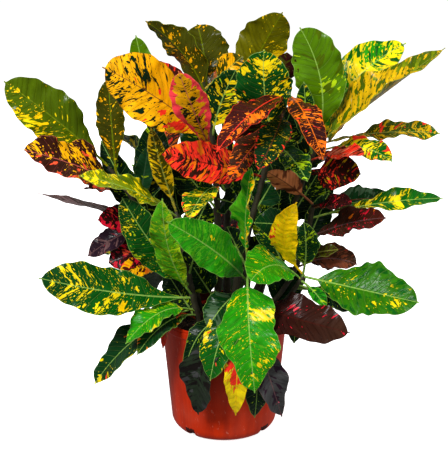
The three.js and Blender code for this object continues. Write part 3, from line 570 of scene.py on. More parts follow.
@dataclass
class Surface:
    """Points, faces and point values of a mesh while it is worked out, in mm."""

    points: list[Grid] = field(default_factory=list)
    quads: list[Grid] = field(default_factory=list)
    triangles: list[Grid] = field(default_factory=list)
    maps: dict[str, list[Grid]] = field(default_factory=dict)
    values: dict[str, list[Grid]] = field(default_factory=dict)
    count: int = 0

    def add(
        self,
        points: Grid,
        quads: Grid,
        triangles: Grid | None = None,
        maps: dict[str, Grid] | None = None,
        values: dict[str, Grid] | None = None,
    ) -> None:
        """Adds one closed shell.

        Args:
            points: (n, 3) places in mm.
            quads: (m, 4) indices of points, counted within this shell.
            triangles: (m, 3) indices of points.
            maps: (n, 2) places in each named UV map.
            values: (n, 4) numbers of each named colour attribute.
        """
        self.points.append(points)
        self.quads.append(quads + self.count)
        if triangles is not None:
            self.triangles.append(triangles + self.count)
        for name, places in (maps or {}).items():
            self.maps.setdefault(name, []).append(places)
        for name, numbers in (values or {}).items():
            self.values.setdefault(name, []).append(numbers)
        self.count += len(points)

    def piece(self, name: str, material: bpy.types.Material) -> bpy.types.Object:
        """Puts the surface into a mesh object at the origin.

        Args:
            name: the object's name.
            material: its one material.

        Returns:
            The new object, linked to the scene.
        """
        points = np.concatenate(self.points) * MM
        quads = np.concatenate(self.quads)
        triangles = np.concatenate(self.triangles or [np.zeros((0, 3), int)])
        corners = np.concatenate([quads.ravel(), triangles.ravel()])
        starts = np.concatenate([np.arange(len(quads)) * 4, quads.size + np.arange(len(triangles)) * 3])
        mesh = bpy.data.meshes.new(name)
        mesh.vertices.add(len(points))
        mesh.vertices.foreach_set("co", points.astype(np.float32).ravel())
        mesh.loops.add(len(corners))
        mesh.loops.foreach_set("vertex_index", corners.astype(np.int32))
        mesh.polygons.add(len(starts))
        mesh.polygons.foreach_set("loop_start", starts.astype(np.int32))
        for title, places in self.maps.items():
            layer = mesh.uv_layers.new(name=title)
            spread = np.concatenate(places)[corners]
            layer.data.foreach_set("uv", spread.astype(np.float32).ravel())
        for title, numbers in self.values.items():
            attribute = mesh.attributes.new(title, "FLOAT_COLOR", "POINT")
            attribute.data.foreach_set("color", np.concatenate(numbers).astype(np.float32).ravel())
        mesh.update(calc_edges=True)
        mesh.shade_smooth()
        mesh.set_sharp_from_angle(angle=SHARP_ANGLE)
        mesh.materials.append(material)
        return linked(name, mesh)


def grid_quads(rows: int, columns: int) -> Grid:
    """The faces of a grid whose point (i, j) has the index i * columns + j.

    Args:
        rows: how many rows of points.
        columns: how many points in a row.

    Returns:
        (rows - 1) * (columns - 1) quads.
    """
    i, j = np.meshgrid(np.arange(rows - 1), np.arange(columns - 1), indexing="ij")
    corner = (i * columns + j).ravel()
    return np.stack([corner, corner + 1, corner + 1 + columns, corner + columns], axis=1)


def ribbon_quads(first: Grid, second: Grid) -> Grid:
    """The faces between two lines of points with the same count."""
    return np.stack([first[:-1], first[1:], second[1:], second[:-1]], axis=1)


def tube_quads(rings: int, around: int) -> Grid:
    """The faces of a tube of rings whose point (i, j) has the index i * around + j.

    Args:
        rings: how many rings.
        around: how many points a ring has.

    Returns:
        (rings - 1) * around quads.
    """
    i, j = np.meshgrid(np.arange(rings - 1), np.arange(around), indexing="ij")
    here = (i * around + j).ravel()
    beside = (i * around + (j + 1) % around).ravel()
    return np.stack([here, beside, beside + around, here + around], axis=1)


def cap_triangles(start: int, around: int, middle: int, flip: bool = False) -> Grid:
    """The triangles between a ring of points and its middle point.

    Args:
        start: the index of the ring's first point.
        around: how many points the ring has.
        middle: the middle point's index.
        flip: whether they face the other way.

    Returns:
        One triangle for each of the ring's points.
    """
    j = np.arange(around)
    ring = start + j
    beside = start + (j + 1) % around
    fan = np.stack([ring, beside, np.full(around, middle)], axis=1)
    return fan[:, ::-1] if flip else fan


def closed_rings(rings: Grid, first: Grid, last: Grid) -> tuple[Grid, Grid, Grid]:
    """A closed body of rings of points, with a pole at each end.

    Args:
        rings: (n, m, 3) points, each ring counterclockwise seen from the last one.
        first: the pole before the first ring.
        last: the pole after the last ring.

    Returns:
        The points, quads and triangles.
    """
    count, around, _ = rings.shape
    size = count * around
    points = np.concatenate([rings.reshape(-1, 3), [first, last]])
    ends = [cap_triangles(0, around, size, flip=True), cap_triangles(size - around, around, size + 1)]
    return points, tube_quads(count, around), np.concatenate(ends)


def circle(radii: Grid, around: int) -> tuple[Grid, Grid]:
    """The x and y, each (n, around), of rings about the Z axis of n radii: r cos(a) and r sin(a)."""
    angles = np.arange(around) / around * 2 * np.pi
    return radii[:, None] * np.cos(angles), radii[:, None] * np.sin(angles)


def arc(centre: tuple[float, float], radius: float, start: float, end: float, steps: int) -> Grid:
    """Points (r, z) along an arc: centre + radius (cos a, sin a), a in degrees from start to end."""
    angles = np.radians(np.linspace(start, end, steps + 1))
    return np.stack([centre[0] + radius * np.cos(angles), centre[1] + radius * np.sin(angles)], axis=1)


def turned(angle: float) -> Grid:
    """The matrix that turns rows of x, y and z about the Z axis by an angle in radians."""
    cosine, sine = math.cos(angle), math.sin(angle)
    return np.array([[cosine, sine, 0], [-sine, cosine, 0], [0, 0, 1]])


def leaned(angle: float) -> Grid:
    """The matrix that leans rows of x, y and z about the Y axis by an angle in radians."""
    cosine, sine = math.cos(angle), math.sin(angle)
    return np.array([[cosine, 0, sine], [0, 1, 0], [-sine, 0, cosine]])


def lattice_noise(x: Grid, y: Grid, cell: float, seed: int) -> Grid:
    """Smooth random heights from -1 to 1.

    Random values stand on a square lattice, and a point takes a mix of the four about it, each by the
    smooth step 3 t^2 - 2 t^3 of how near it is.

    Args:
        x: places along X in mm.
        y: places along Y in mm, of the same shape.
        cell: the lattice's pitch in mm.
        seed: picks the random values.

    Returns:
        Heights of the same shape.
    """
    size = 64
    table = np.random.default_rng(seed).uniform(-1.0, 1.0, (size, size))
    column = x / cell + size / 2
    row = y / cell + size / 2
    i = np.floor(column).astype(int)
    j = np.floor(row).astype(int)
    s = (column - i) ** 2 * (3 - 2 * (column - i))
    t = (row - j) ** 2 * (3 - 2 * (row - j))
    near = mixed(table[i % size, j % size], table[(i + 1) % size, j % size], s)
    far = mixed(table[i % size, (j + 1) % size], table[(i + 1) % size, (j + 1) % size], s)
    return mixed(near, far, t)


@dataclass(frozen=True)
class Grain:
    """A noise: its scale, the two values that its mark's soft edge begins and ends at, the share of its
    height that draws it out along Z, its detail and its roughness."""

    size: float
    cut: Span = (0.0, 1.0)
    upright: float = 1.0
    detail: float = 2.0
    roughness: float = 0.5


class Graph:
    """A material's node tree, with short calls for the nodes that the finishes use."""

    def __init__(self, name: str, roughness: float, specular: float = 0.5) -> None:
        """Starts a material with one Principled shader.

        Args:
            name: the material's name.
            roughness: the shader's own roughness, where none is linked.
            specular: its specular level.
        """
        self.material = bpy.data.materials.new(name)
        self.material.use_nodes = True
        self.tree = self.material.node_tree
        self.shader = self.tree.nodes["Principled BSDF"]
        self.shader.inputs["Roughness"].default_value = roughness
        self.shader.inputs["Specular IOR Level"].default_value = specular

    def node(self, kind: str, **settings: object) -> bpy.types.Node:
        """Adds a node.

        Args:
            kind: its type.
            settings: its settings by their names.

        Returns:
            The new node.
        """
        made = self.tree.nodes.new(kind)
        for name, value in settings.items():
            setattr(made, name, value)
        return made

    def put(self, socket: bpy.types.NodeSocket, value: object) -> None:
        """Links a socket to another's output, or sets its own value.

        Args:
            socket: the input that is fed.
            value: an output, a hue or a plain value.
        """
        if isinstance(value, bpy.types.NodeSocket):
            self.tree.links.new(value, socket)
        elif isinstance(value, Hue):
            socket.default_value = value.linear().tolist()
        else:
            socket.default_value = value

    def math(self, operation: str, *values: object) -> bpy.types.NodeSocket:
        """One sum of up to three values or outputs.

        Args:
            operation: the kind of sum.
            values: what goes into it, in order.

        Returns:
            The sum's output.
        """
        made = self.node("ShaderNodeMath", operation=operation)
        for socket, value in zip(made.inputs, values):
            self.put(socket, value)
        return made.outputs[0]

    def scaled(self, value: object, factor: object, offset: object) -> bpy.types.NodeSocket:
        """A value times a factor plus an offset."""
        return self.math("MULTIPLY_ADD", value, factor, offset)

    def step(self, value: object, low: float, high: float) -> bpy.types.NodeSocket:
        """0 below low, 1 above high and a smooth rise between.

        Args:
            value: what the step is taken of.
            low: where it is 0.
            high: where it is 1. It may be the lesser one.

        Returns:
            The step's output.
        """
        made = self.node("ShaderNodeMapRange", interpolation_type="SMOOTHSTEP")
        flipped = low > high
        self.put(made.inputs["Value"], value)
        self.put(made.inputs["From Min"], min(low, high))
        self.put(made.inputs["From Max"], max(low, high))
        self.put(made.inputs["To Min"], 1.0 if flipped else 0.0)
        self.put(made.inputs["To Max"], 0.0 if flipped else 1.0)
        return made.outputs["Result"]

    def mix(self, share: object, first: object, second: object) -> bpy.types.NodeSocket:
        """The first colour moved to the second by a share.

        Args:
            share: 0 for the first colour and 1 for the second.
            first: a hue, a colour or its output.
            second: the same.

        Returns:
            The mixed colour's output.
        """
        made = self.node("ShaderNodeMix", data_type="RGBA")
        sockets = {socket.identifier: socket for socket in made.inputs}
        self.put(sockets["Factor_Float"], share)
        self.put(sockets["A_Color"], first)
        self.put(sockets["B_Color"], second)
        return next(socket for socket in made.outputs if socket.identifier == "Result_Color")

    def cover(self, colour: object, mask: object, show: float, over: object) -> bpy.types.NodeSocket:
        """A colour, with a show of another laid over it where a mask is 1."""
        return self.mix(self.math("MULTIPLY", mask, show), colour, over)

    def tint(self, colour: object, shade: object) -> bpy.types.NodeSocket:
        """A colour times a grey value.

        Args:
            colour: the colour's output.
            shade: the grey value's output.

        Returns:
            The darker or lighter colour's output.
        """
        made = self.node("ShaderNodeVectorMath", operation="SCALE")
        self.put(made.inputs[0], colour)
        self.put(made.inputs["Scale"], shade)
        return made.outputs[0]

    def noise(self, grain: Grain, flat: object = None) -> bpy.types.NodeSocket:
        """Smooth noise about 0.5.

        Args:
            grain: its sizes.
            flat: the flat map that it lies over, else the object's own space.

        Returns:
            The noise's output.
        """
        made = self.node("ShaderNodeTexNoise", noise_dimensions="3D" if flat is None else "2D")
        self.put(made.inputs["Vector"], self.place(grain.upright) if flat is None else flat)
        self.put(made.inputs["Scale"], grain.size)
        self.put(made.inputs["Detail"], grain.detail)
        self.put(made.inputs["Roughness"], grain.roughness)
        return made.outputs[0]

    def place(self, upright: float = 1.0) -> bpy.types.NodeSocket:
        """The place on the object in metres.

        Args:
            upright: the share of the height that is kept, which draws noise out along Z.

        Returns:
            The place's output.
        """
        made = self.node("ShaderNodeMapping")
        self.put(made.inputs["Vector"], self.node("ShaderNodeTexCoord").outputs["Object"])
        self.put(made.inputs["Scale"], (1.0, 1.0, upright))
        return made.outputs["Vector"]

    def map(self, name: str) -> bpy.types.NodeSocket:
        """The place in the piece's named UV map."""
        return self.node("ShaderNodeUVMap", uv_map=name).outputs["UV"]

    def value(self, name: str, output: str = "Color") -> bpy.types.NodeSocket:
        """A named attribute, as a colour or by another of its outputs."""
        made = self.node("ShaderNodeAttribute", attribute_type="GEOMETRY", attribute_name=name)
        return made.outputs[output]

    def parts(self, vector: object) -> bpy.types.NodeOutputs:
        """The X, Y and Z of a vector.

        Args:
            vector: the vector's output.

        Returns:
            The three outputs by their names.
        """
        made = self.node("ShaderNodeSeparateXYZ")
        self.put(made.inputs[0], vector)
        return made.outputs

    def bump(self, height: object, distance: float, strength: float = 1.0) -> None:
        """Bends the shader's normal by a height.

        Args:
            height: the height's output.
            distance: how many metres high a height of 1 is.
            strength: how much of it shows.
        """
        made = self.node("ShaderNodeBump")
        self.put(made.inputs["Height"], height)
        self.put(made.inputs["Distance"], distance)
        self.put(made.inputs["Strength"], strength)
        self.put(self.shader.inputs["Normal"], made.outputs[0])

    def paint(self, colour: object, roughness: object = None) -> None:
        """Links the shader's colour and, where given, its roughness.

        Args:
            colour: the colour's output.
            roughness: the roughness's output.
        """
        self.put(self.shader.inputs["Base Color"], colour)
        if roughness is not None:
            self.put(self.shader.inputs["Roughness"], roughness)


@dataclass(frozen=True)
class LeafFinish:
    """A croton blade: ground, flecks and blush from its point values, pale ribs, a waxy gloss.

    sharp is how wide a mark's soft edge is in its noise, and halo how wide the darker rim round a blotch.
    An edge is the two values that a line's soft edge begins and ends at, and a show how much of the rib's
    colour a line has.
    """

    sharp: float = 0.022
    blotch: Grain = Grain(0.5)
    speck: Grain = Grain(1.55, detail=1.0)
    speck_loss: float = 0.06
    blush: Grain = Grain(0.4)
    halo: float = 0.025
    halo_dark: float = 0.4
    cluster: Grain = Grain(0.11, detail=1.0)
    cluster_share: float = 0.42
    tone: Grain = Grain(0.3, (0.2, 0.8), detail=3.0, roughness=0.55)
    tone_swing: float = 0.9
    tone_least: float = 0.55
    vein_width: float = 0.06
    vein_show: float = 0.2
    # Painted shade: how much darker the blade is painted along its side veins and lighter between them.
    painted_vein_shade: float = 0.16
    rib_edge: Span = (1.2, 0.6)
    rib_show: float = 0.7
    margin_edge: Span = (0.75, 0.225)
    margin_show: float = 0.5
    gloss_least: float = 0.17
    gloss_swing: float = 0.14
    fine: Grain = Grain(900.0)
    fine_relief: float = 0.1
    tone_relief: float = 2.4
    relief: float = 0.0005
    relief_show: float = 0.9

    def build(self) -> bpy.types.Material:
        """Builds the material.

        Blotches and specks are a broad and a fine noise over the fleck map. Each has the leaf's own share
        and a slow noise, which gathers them in clusters, added to it, and is cut at a half. The blush is
        cut out in the same way, and the ground is darker in a rim round the blotches. Side veins are lines
        where the vein map's X is whole, and the blade is painted darker along them and lighter between
        them, as painted shade of its quilted relief. The midrib is where the map's Y is near 0, and the
        margin is a thin line.

        Returns:
            The new material.
        """
        graph = Graph("croton_leaf", roughness=0.3, specular=0.1)
        flecks = graph.map(FLECKS)
        veins = graph.parts(graph.map(VEINS))
        shares = graph.parts(graph.value(SHARES, "Vector"))
        cluster = graph.noise(self.cluster, flecks)
        gather = graph.scaled(cluster, self.cluster_share, -self.cluster_share / 2)
        share = graph.math("ADD", shares["X"], gather)
        blotch = graph.math("ADD", graph.noise(self.blotch, flecks), share)
        speck = graph.math("ADD", graph.noise(self.speck, flecks), share)
        blush = graph.math("ADD", graph.noise(self.blush, flecks), shares["Y"])
        tone = graph.noise(self.tone, flecks)
        low, high = 0.5 - self.sharp / 2, 0.5 + self.sharp / 2
        marks = graph.math(
            "MAXIMUM",
            graph.step(blotch, low, high),
            graph.step(graph.math("SUBTRACT", speck, self.speck_loss), low, high),
        )
        halo = graph.step(blotch, low - self.halo, low)
        ground = graph.tint(graph.value(GROUND), graph.scaled(halo, -self.halo_dark, 1.0))
        colour = graph.mix(marks, ground, graph.value(FLECK))
        blush_mask = graph.step(blush, 0.5 - self.sharp, 0.5 + self.sharp)
        colour = graph.mix(blush_mask, colour, graph.value(BLUSH))
        # Painted shade of the relief: darker along the side veins and lighter between them, times a random
        # tone.
        between = graph.math("PINGPONG", veins["X"], 0.5)
        light = graph.math(
            "MULTIPLY",
            graph.scaled(between, self.painted_vein_shade * 2, 1.0 - self.painted_vein_shade / 2),
            graph.scaled(tone, self.tone_swing, self.tone_least),
        )
        colour = graph.tint(colour, light)
        side_line = graph.step(between, self.vein_width, 0.0)
        rib_line = graph.step(graph.math("ABSOLUTE", veins["Y"]), *self.rib_edge)
        margin = graph.step(shares["Z"], *self.margin_edge)
        rib = graph.value(RIB)
        lines = ((side_line, self.vein_show), (rib_line, self.rib_show), (margin, self.margin_show))
        for line, show in lines:
            colour = graph.cover(colour, line, show, rib)
        gloss = graph.step(tone, *self.tone.cut)
        graph.paint(colour, graph.scaled(gloss, self.gloss_swing, self.gloss_least))
        fine = graph.math("MULTIPLY", graph.noise(self.fine), self.fine_relief)
        height = graph.math("SUBTRACT", graph.scaled(tone, self.tone_relief, fine), side_line)
        graph.bump(height, self.relief, self.relief_show)
        return graph.material


@dataclass(frozen=True)
class BarkFinish:
    """Young croton bark: brown-green, with long pale streaks and small pores."""

    streak: Grain = Grain(420.0, (0.35, 0.65), upright=0.16, detail=4.0, roughness=0.6)
    pore: Grain = Grain(700.0, (0.62, 0.7))
    relief: float = 0.0006
    relief_show: float = 0.8

    def build(self) -> bpy.types.Material:
        """Builds the material from noise drawn out along the stem.

        Returns:
            The new material.
        """
        graph = Graph("croton_bark", roughness=0.7)
        streaks, pores = graph.noise(self.streak), graph.noise(self.pore)
        # The bark's own brown-green, darkened partly as painted shade of the crowded inside.
        colour = graph.mix(graph.step(streaks, *self.streak.cut), Hue.BARK_DARK, Hue.BARK_GREEN)
        graph.paint(graph.mix(graph.step(pores, *self.pore.cut), colour, Hue.BARK_PALE))
        graph.bump(graph.math("ADD", streaks, pores), self.relief, self.relief_show)
        return graph.material


@dataclass(frozen=True)
class PotFinish:
    """Red-orange moulded plastic with faint upright flow marks, scuffs and dust, with painted shade in the
    drain openings and a near-black inner face above the soil.

    turn is the first drain's angle in degrees. In metres, foot is the radius that the painted shade of the
    drains begins at, inside that of the wall's inner face, and inner_dark_from the height above which that
    face is painted near black. A show is how much of its colour a mark has.
    """

    turn: float
    foot: float
    inside: float
    inner_dark_from: float = SOIL_TOP * MM
    drain_shade_half: float = 0.0066
    drain_shade_top: float = 0.0135
    dark_blur: float = 0.0012
    dark_show: float = 0.93
    rag: Grain = Grain(420.0)
    rag_reach: float = 0.004
    flow: Grain = Grain(90.0, (0.3, 0.7), upright=0.05, detail=3.0, roughness=0.6)
    cloud: Grain = Grain(22.0, (0.4, 0.75), detail=3.0)
    cloud_show: float = 0.12
    scuff: Grain = Grain(260.0, (0.62, 0.7), upright=0.4, detail=4.0, roughness=0.7)
    scuff_show: float = 0.3
    scuff_relief: float = 0.4
    gloss_swing: float = 0.25
    gloss_least: float = 0.3
    relief: float = 0.0004
    relief_show: float = 0.5

    def drain_shade_and_inner_dark(self, graph: Graph) -> bpy.types.NodeSocket:
        """How much a place is painted near black: painted shade in the drain openings, and the inner face.

        It marks, as painted shade, the corner where it is low and in line with one of the four drains, and
        it marks the wall's inner face above the soil. A drain's line is where the lesser of
        |x cos t + y sin t| and |y cos t - x sin t| is near 0.

        Args:
            graph: the pot's node tree.

        Returns:
            The mark's output.
        """
        place = graph.parts(graph.place())
        ragged = graph.scaled(graph.noise(self.rag), self.rag_reach, -self.rag_reach / 2)
        cosine, sine = math.cos(math.radians(self.turn)), math.sin(math.radians(self.turn))
        ahead = graph.scaled(place["X"], cosine, graph.math("MULTIPLY", place["Y"], sine))
        aside = graph.scaled(place["X"], -sine, graph.math("MULTIPLY", place["Y"], cosine))
        lines = [graph.math("ABSOLUTE", value) for value in (ahead, aside)]
        off = graph.math("ADD", graph.math("MINIMUM", *lines), ragged)
        height = graph.math("ADD", place["Z"], ragged)
        radius = graph.math("SQRT", graph.scaled(ahead, ahead, graph.math("MULTIPLY", aside, aside)))
        blur = self.dark_blur
        # Painted shade: the faces of the drain openings are painted near black.
        near = graph.step(off, self.drain_shade_half + blur, self.drain_shade_half)
        low = graph.step(height, self.drain_shade_top + blur, self.drain_shade_top)
        out = graph.step(radius, self.foot - blur, self.foot)
        drain = graph.math("MULTIPLY", graph.math("MULTIPLY", near, low), out)
        # The wall's inner face above the soil is painted near black.
        inner = graph.step(radius, self.inside + blur / 2, self.inside)
        high = graph.step(place["Z"], self.inner_dark_from, self.inner_dark_from + blur)
        shown = graph.math("MAXIMUM", drain, graph.math("MULTIPLY", inner, high))
        return graph.math("MULTIPLY", shown, self.dark_show)

    def build(self) -> bpy.types.Material:
        """Builds the material: flow marks are noise drawn out along Z, and scuffs are where noise is high.

        Returns:
            The new material.
        """
        graph = Graph("pot_plastic", roughness=0.4, specular=0.1)
        flow, cloud, scuff = (graph.noise(grain) for grain in (self.flow, self.cloud, self.scuff))
        colour = graph.mix(graph.step(flow, *self.flow.cut), Hue.POT_DEEP, Hue.POT_RED)
        clouded = graph.step(cloud, *self.cloud.cut)
        colour = graph.cover(colour, clouded, self.cloud_show, Hue.POT_PALE)
        scuffed = graph.step(scuff, *self.scuff.cut)
        colour = graph.cover(colour, scuffed, self.scuff_show, Hue.POT_DUST)
        # Painted shade in the drain openings, and a near-black inner face above the soil.
        colour = graph.mix(self.drain_shade_and_inner_dark(graph), colour, Hue.SOIL_AND_SHADE_BLACK)
        graph.paint(colour, graph.scaled(cloud, self.gloss_swing, self.gloss_least))
        height = graph.math("ADD", flow, graph.math("MULTIPLY", scuff, self.scuff_relief))
        graph.bump(height, self.relief, self.relief_show)
        return graph.material


@dataclass(frozen=True)
class SoilFinish:
    """Damp peat mix: near black, with brown clods and pale grit."""

    clod: Grain = Grain(160.0, (0.35, 0.7), detail=4.0, roughness=0.7)
    grit: Grain = Grain(900.0, (0.66, 0.72))
    relief: float = 0.0015

    def build(self) -> bpy.types.Material:
        """Builds the material from a broad and a fine noise.

        Returns:
            The new material.
        """
        graph = Graph("potting_soil", roughness=0.95, specular=0.2)
        clods, grit = graph.noise(self.clod), graph.noise(self.grit)
        colour = graph.mix(graph.step(clods, *self.clod.cut), Hue.SOIL_AND_SHADE_BLACK, Hue.SOIL_BROWN)
        graph.paint(graph.mix(graph.step(grit, *self.grit.cut), colour, Hue.SOIL_GRIT))
        graph.bump(graph.math("ADD", clods, grit), self.relief)
        return graph.material


@dataclass(frozen=True)
class CrumbFinish:
    """Bark chips and crumbs, each in the colour of its own point values."""

    fine: Grain = Grain(700.0, (0.1, 0.7), detail=3.0)
    relief: float = 0.0008
    relief_show: float = 0.8

    def build(self) -> bpy.types.Material:
        """Builds the material: the chip's colour, made darker where a fine noise is low.

        Returns:
            The new material.
        """
        graph = Graph("soil_crumbs", roughness=0.9, specular=0.2)
        fine = graph.noise(self.fine)
        graph.paint(graph.tint(graph.value(GROUND), graph.step(fine, *self.fine.cut)))
        graph.bump(fine, self.relief, self.relief_show)
        return graph.material


@dataclass(frozen=True)
class FloorFinish:
    """The studio's pale floor, which glows a little so that it stays white far from the lights."""

    glow: float = 0.8
    mottle: Grain = Grain(3.0)
    greys: Span = (0.9, 0.93)

    def build(self) -> bpy.types.Material:
        """Builds the material: near white, with the faintest mottle.

        Returns:
            The new material.
        """
        graph = Graph("studio_floor", roughness=0.9, specular=0.1)
        graph.shader.inputs["Emission Color"].default_value = (1.0, 1.0, 1.0, 1.0)
        graph.shader.inputs["Emission Strength"].default_value = self.glow
        greys = [(grey, grey, grey, 1.0) for grey in self.greys]
        graph.paint(graph.mix(graph.noise(self.mottle), *greys))
        return graph.material


@dataclass(frozen=True)
class Leaf:
    """One leaf's sizes.

    at is the share of the stem's length where it grows, tip where it ends, width its widest, face the
    way that its upper side looks, bow and sway how far it bends to its face and to its right as shares of
    its length, fold the angle in degrees that each half folds up, wave its margin's height in mm, peak
    where it is widest (more is nearer the tip), lobe how deep its lobes are, taper how slender its end
    is, from 0, round, to 1, and look its markings.
    """

    at: float
    tip: Point
    width: float
    face: Point
    bow: float
    sway: float
    fold: float
    wave: float
    peak: float = 1.0
    lobe: float = 0.0
    taper: float = 0.35
    look: Look = Look.DEEP_PLAIN


@dataclass(frozen=True)
class Stem:
    """A leafy stem's sizes: its foot at the soil, the point that pulls it, its top, its radius at foot
    and top, and a row for each leaf."""

    node: str
    slot: Slot
    foot: Span
    pull: Point
    top: Point
    radius: Span
    leaves: tuple[Leaf, ...]

    def point(self, share: Grid) -> Grid:
        """Points of the stem's middle line.

        The curve is (1 - s)^2 foot + 2 s (1 - s) pull + s^2 top.

        Args:
            share: (n,) shares of the way up.

        Returns:
            (n, 3) points in mm.
        """
        s = np.asarray(share, float)[:, None]
        foot = np.array([*self.foot, SOIL_TOP])
        return (1 - s) ** 2 * foot + 2 * s * (1 - s) * np.array(self.pull) + s**2 * np.array(self.top)

    def wood(self) -> Surface:
        """The stem's own tube, from its buried foot to its top.

        Rings lie level. Their radius tapers, swells a little at each leaf, and shrinks to a bud.

        Returns:
            The closed tube.
        """
        foot_share = np.linspace(0.0, 1.0, WOOD_RINGS)
        middle = self.point(foot_share)
        buried = np.linspace(SOIL_TOP - ROOT_DEPTH, SOIL_TOP - BURIED_GAP, BURIED_RINGS)
        below = np.stack([*(np.full(BURIED_RINGS, place) for place in self.foot), buried], axis=1)
        places = np.array([leaf.at for leaf in self.leaves])
        reach = (self.top[2] - SOIL_TOP) / SCAR_REACH
        scars = bell((foot_share[:, None] - places) * reach).max(axis=1)
        radius = mixed(*self.radius, foot_share) * (1 + SCAR_SWELL * scars)
        radius = radius * np.sqrt(np.clip((1.0 - foot_share) * WOOD_RINGS / 2, BUD_LEAST, 1.0))
        centres = np.concatenate([below, middle])
        radii = np.concatenate([np.full(BURIED_RINGS, self.radius[0]), radius])
        x, y = circle(radii, WOOD_SIDES)
        rings = centres[:, None, :] + np.stack([x, y, np.zeros_like(x)], axis=-1)
        surface = Surface()
        surface.add(*closed_rings(rings, centres[0], centres[-1] + (0.0, 0.0, BUD_TIP)))
        return surface

    def build(
        self, number: int, leaf_finish: bpy.types.Material, bark_finish: bpy.types.Material
    ) -> list[bpy.types.Object]:
        """Builds the stem's wood and its leaves.

        Args:
            number: its place among the stems.
            leaf_finish: the leaves' material.
            bark_finish: the wood's material.

        Returns:
            The two pieces.
        """
        foliage = Surface()
        for place, leaf in enumerate(self.leaves):
            Blade(self, leaf, place, len(self.leaves) * number + place + 1).grow(foliage)
        pieces = [
            self.wood().piece(self.node + "_wood", bark_finish),
            foliage.piece(self.node + "_leaves", leaf_finish),
        ]
        for piece in pieces:
            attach(piece, BODY)
            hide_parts(self.node)
        return pieces


class Blade:
    """One leaf as a surface of u, from the stem to the tip, and v, from the left edge to the right."""

    def __init__(self, stem: Stem, leaf: Leaf, number: int, seed: int) -> None:
        """Works out the leaf's directions.

        Args:
            stem: the stem that it grows from.
            leaf: its sizes.
            number: its place in the stem's list, which turns its waves.
            seed: shifts its markings.
        """
        self.leaf = leaf
        self.look = leaf.look.value
        self.seed = seed
        self.base = stem.point(np.array([leaf.at]))[0]
        self.chord = np.array(leaf.tip, float) - self.base
        self.length = float(np.linalg.norm(self.chord))
        along = self.chord / self.length
        face = np.array(leaf.face, float)
        self.face = unit(face - along * (face @ along))
        side = np.cross(along, self.face)
        self.bend = self.length * (leaf.bow * self.face + leaf.sway * side)
        self.stalk = min(STALK_LENGTH / self.length, STALK_SHARE_MOST)
        self.phase = number * TURN_BY_LEAF + leaf.at * TURN_BY_PLACE

    def blade(self, u: Grid) -> Grid:
        """How far along the blade a point is: 0 where the stalk ends, 1 at the tip."""
        return (u - self.stalk) / (1 - self.stalk)

    def midrib(self, u: Grid) -> Grid:
        """The middle line: base + u chord + 4 u (1 - u) (bow face + sway side)."""
        return self.base + self.chord * u[:, None] + (4 * u * (1 - u))[:, None] * self.bend

    def half(self, q: Grid, side: Grid) -> Grid:
        """The half width: a pointed oval with lobes, and small jags in its margin.

        It is a narrow width, from the stalk's to the tip's, plus half the leaf's width times sin(pi s)^p
        times 1 + lobe sin(4 pi q + phase + side), with s = (q / 0.975)^peak, so that a drip tip stands
        beyond the oval. p goes from 0.8 at the base to between 0.45, round, and 1, slender, at the end. A
        jag is a short sine of q.

        Args:
            q: (n, 1) shares of the blade.
            side: (1, m) -1 on the left half and 1 on the right half.

        Returns:
            (n, m) half widths in mm.
        """
        inside = np.clip(q, 0.0, 1.0)
        place = np.clip(q / DRIP_START, 0.0, 1.0) ** self.leaf.peak
        end = mixed(ROUND_POWER, SLENDER_POWER, self.leaf.taper)
        oval = hump(place) ** mixed(BASE_POWER, end, place)
        lobes = 1 + self.leaf.lobe * np.sin(2 * np.pi * LOBES * q + self.phase + side)
        jags = sum(np.sin(2 * np.pi * waves * q + self.phase * waves + 2 * side) for waves in JAG_WAVES)
        least = STALK_HALF_WIDTH + (TIP_HALF_WIDTH - STALK_HALF_WIDTH) * inside
        return least + self.leaf.width / 2 * oval * (lobes + JAG_SHARE / 2 * jags)

    def sheet(self, u: Grid, v: Grid) -> Grid:
        """The middle sheet of the leaf.

        A point is midrib(u) + across half v cos(w fold) + up w (half |v| sin(fold) + wave v^2 sin(...)),
        with w = sin(pi q)^0.6, and the margin has a finer crinkle that grows with |v|^3.

        Args:
            u: (n,) shares from the stem to the tip.
            v: (m,) shares from the left edge, -1, to the right one, 1.

        Returns:
            (n, m, 3) points in mm.
        """
        ahead = unit(self.midrib(u + HEADING_STEP) - self.midrib(u - HEADING_STEP))
        up = unit(self.face - ahead * (ahead @ self.face)[:, None])
        across = np.cross(ahead, up)
        q = self.blade(u)[:, None]
        side = np.sign(v)[None, :]
        half = self.half(q, side)
        swell = hump(q) ** FULLNESS_POWER
        ripple = np.sin(2 * np.pi * WAVES * q + self.phase + EDGE_LAG * side)
        crinkle = np.sin(2 * np.pi * CRINKLES * q + 2 * self.phase + 2 * EDGE_LAG * side)
        fold = math.radians(self.leaf.fold)
        lift = half * np.abs(v) * np.sin(fold) * swell
        edge = self.leaf.wave * swell * (ripple * v**2 + CRINKLE_SHARE * crinkle * np.abs(v) ** 3)
        reach = half * v * np.cos(fold * swell)
        rise = lift + edge
        middle = self.midrib(u)[:, None, :]
        return middle + across[:, None, :] * reach[..., None] + up[:, None, :] * rise[..., None]

    def vein_place(self, q: Grid, v: Grid) -> tuple[Grid, Grid]:
        """Where a point lies among the side veins.

        Veins leave the midrib at even gaps, slant and curl towards the tip, and two slow waves then move
        them apart and together, so that no two gaps are the same.

        Args:
            q: (n, 1) shares of the blade.
            v: (1, m) shares across.

        Returns:
            The number of the vein through the point, whole on a vein, and the distance from the midrib in
            mm, to the right positive.
        """
        out = self.half(q, np.sign(v)) * v
        run = q * self.length * (1 - self.stalk)
        even = (run - VEIN_SLANT * np.abs(out) - VEIN_CURL * out**2) / self.vein_gap()
        slow = np.sin(VEIN_SLOW * even + self.seed)
        cross = np.sin(VEIN_CROSS * out + even / 2 + 2 * self.seed)
        return even + VEIN_WANDER * (slow + cross), out

    def vein_gap(self) -> float:
        """How far apart the side veins leave the midrib, in mm."""
        return max(VEIN_GAP_LEAST, VEIN_GAP_SHARE * self.length)

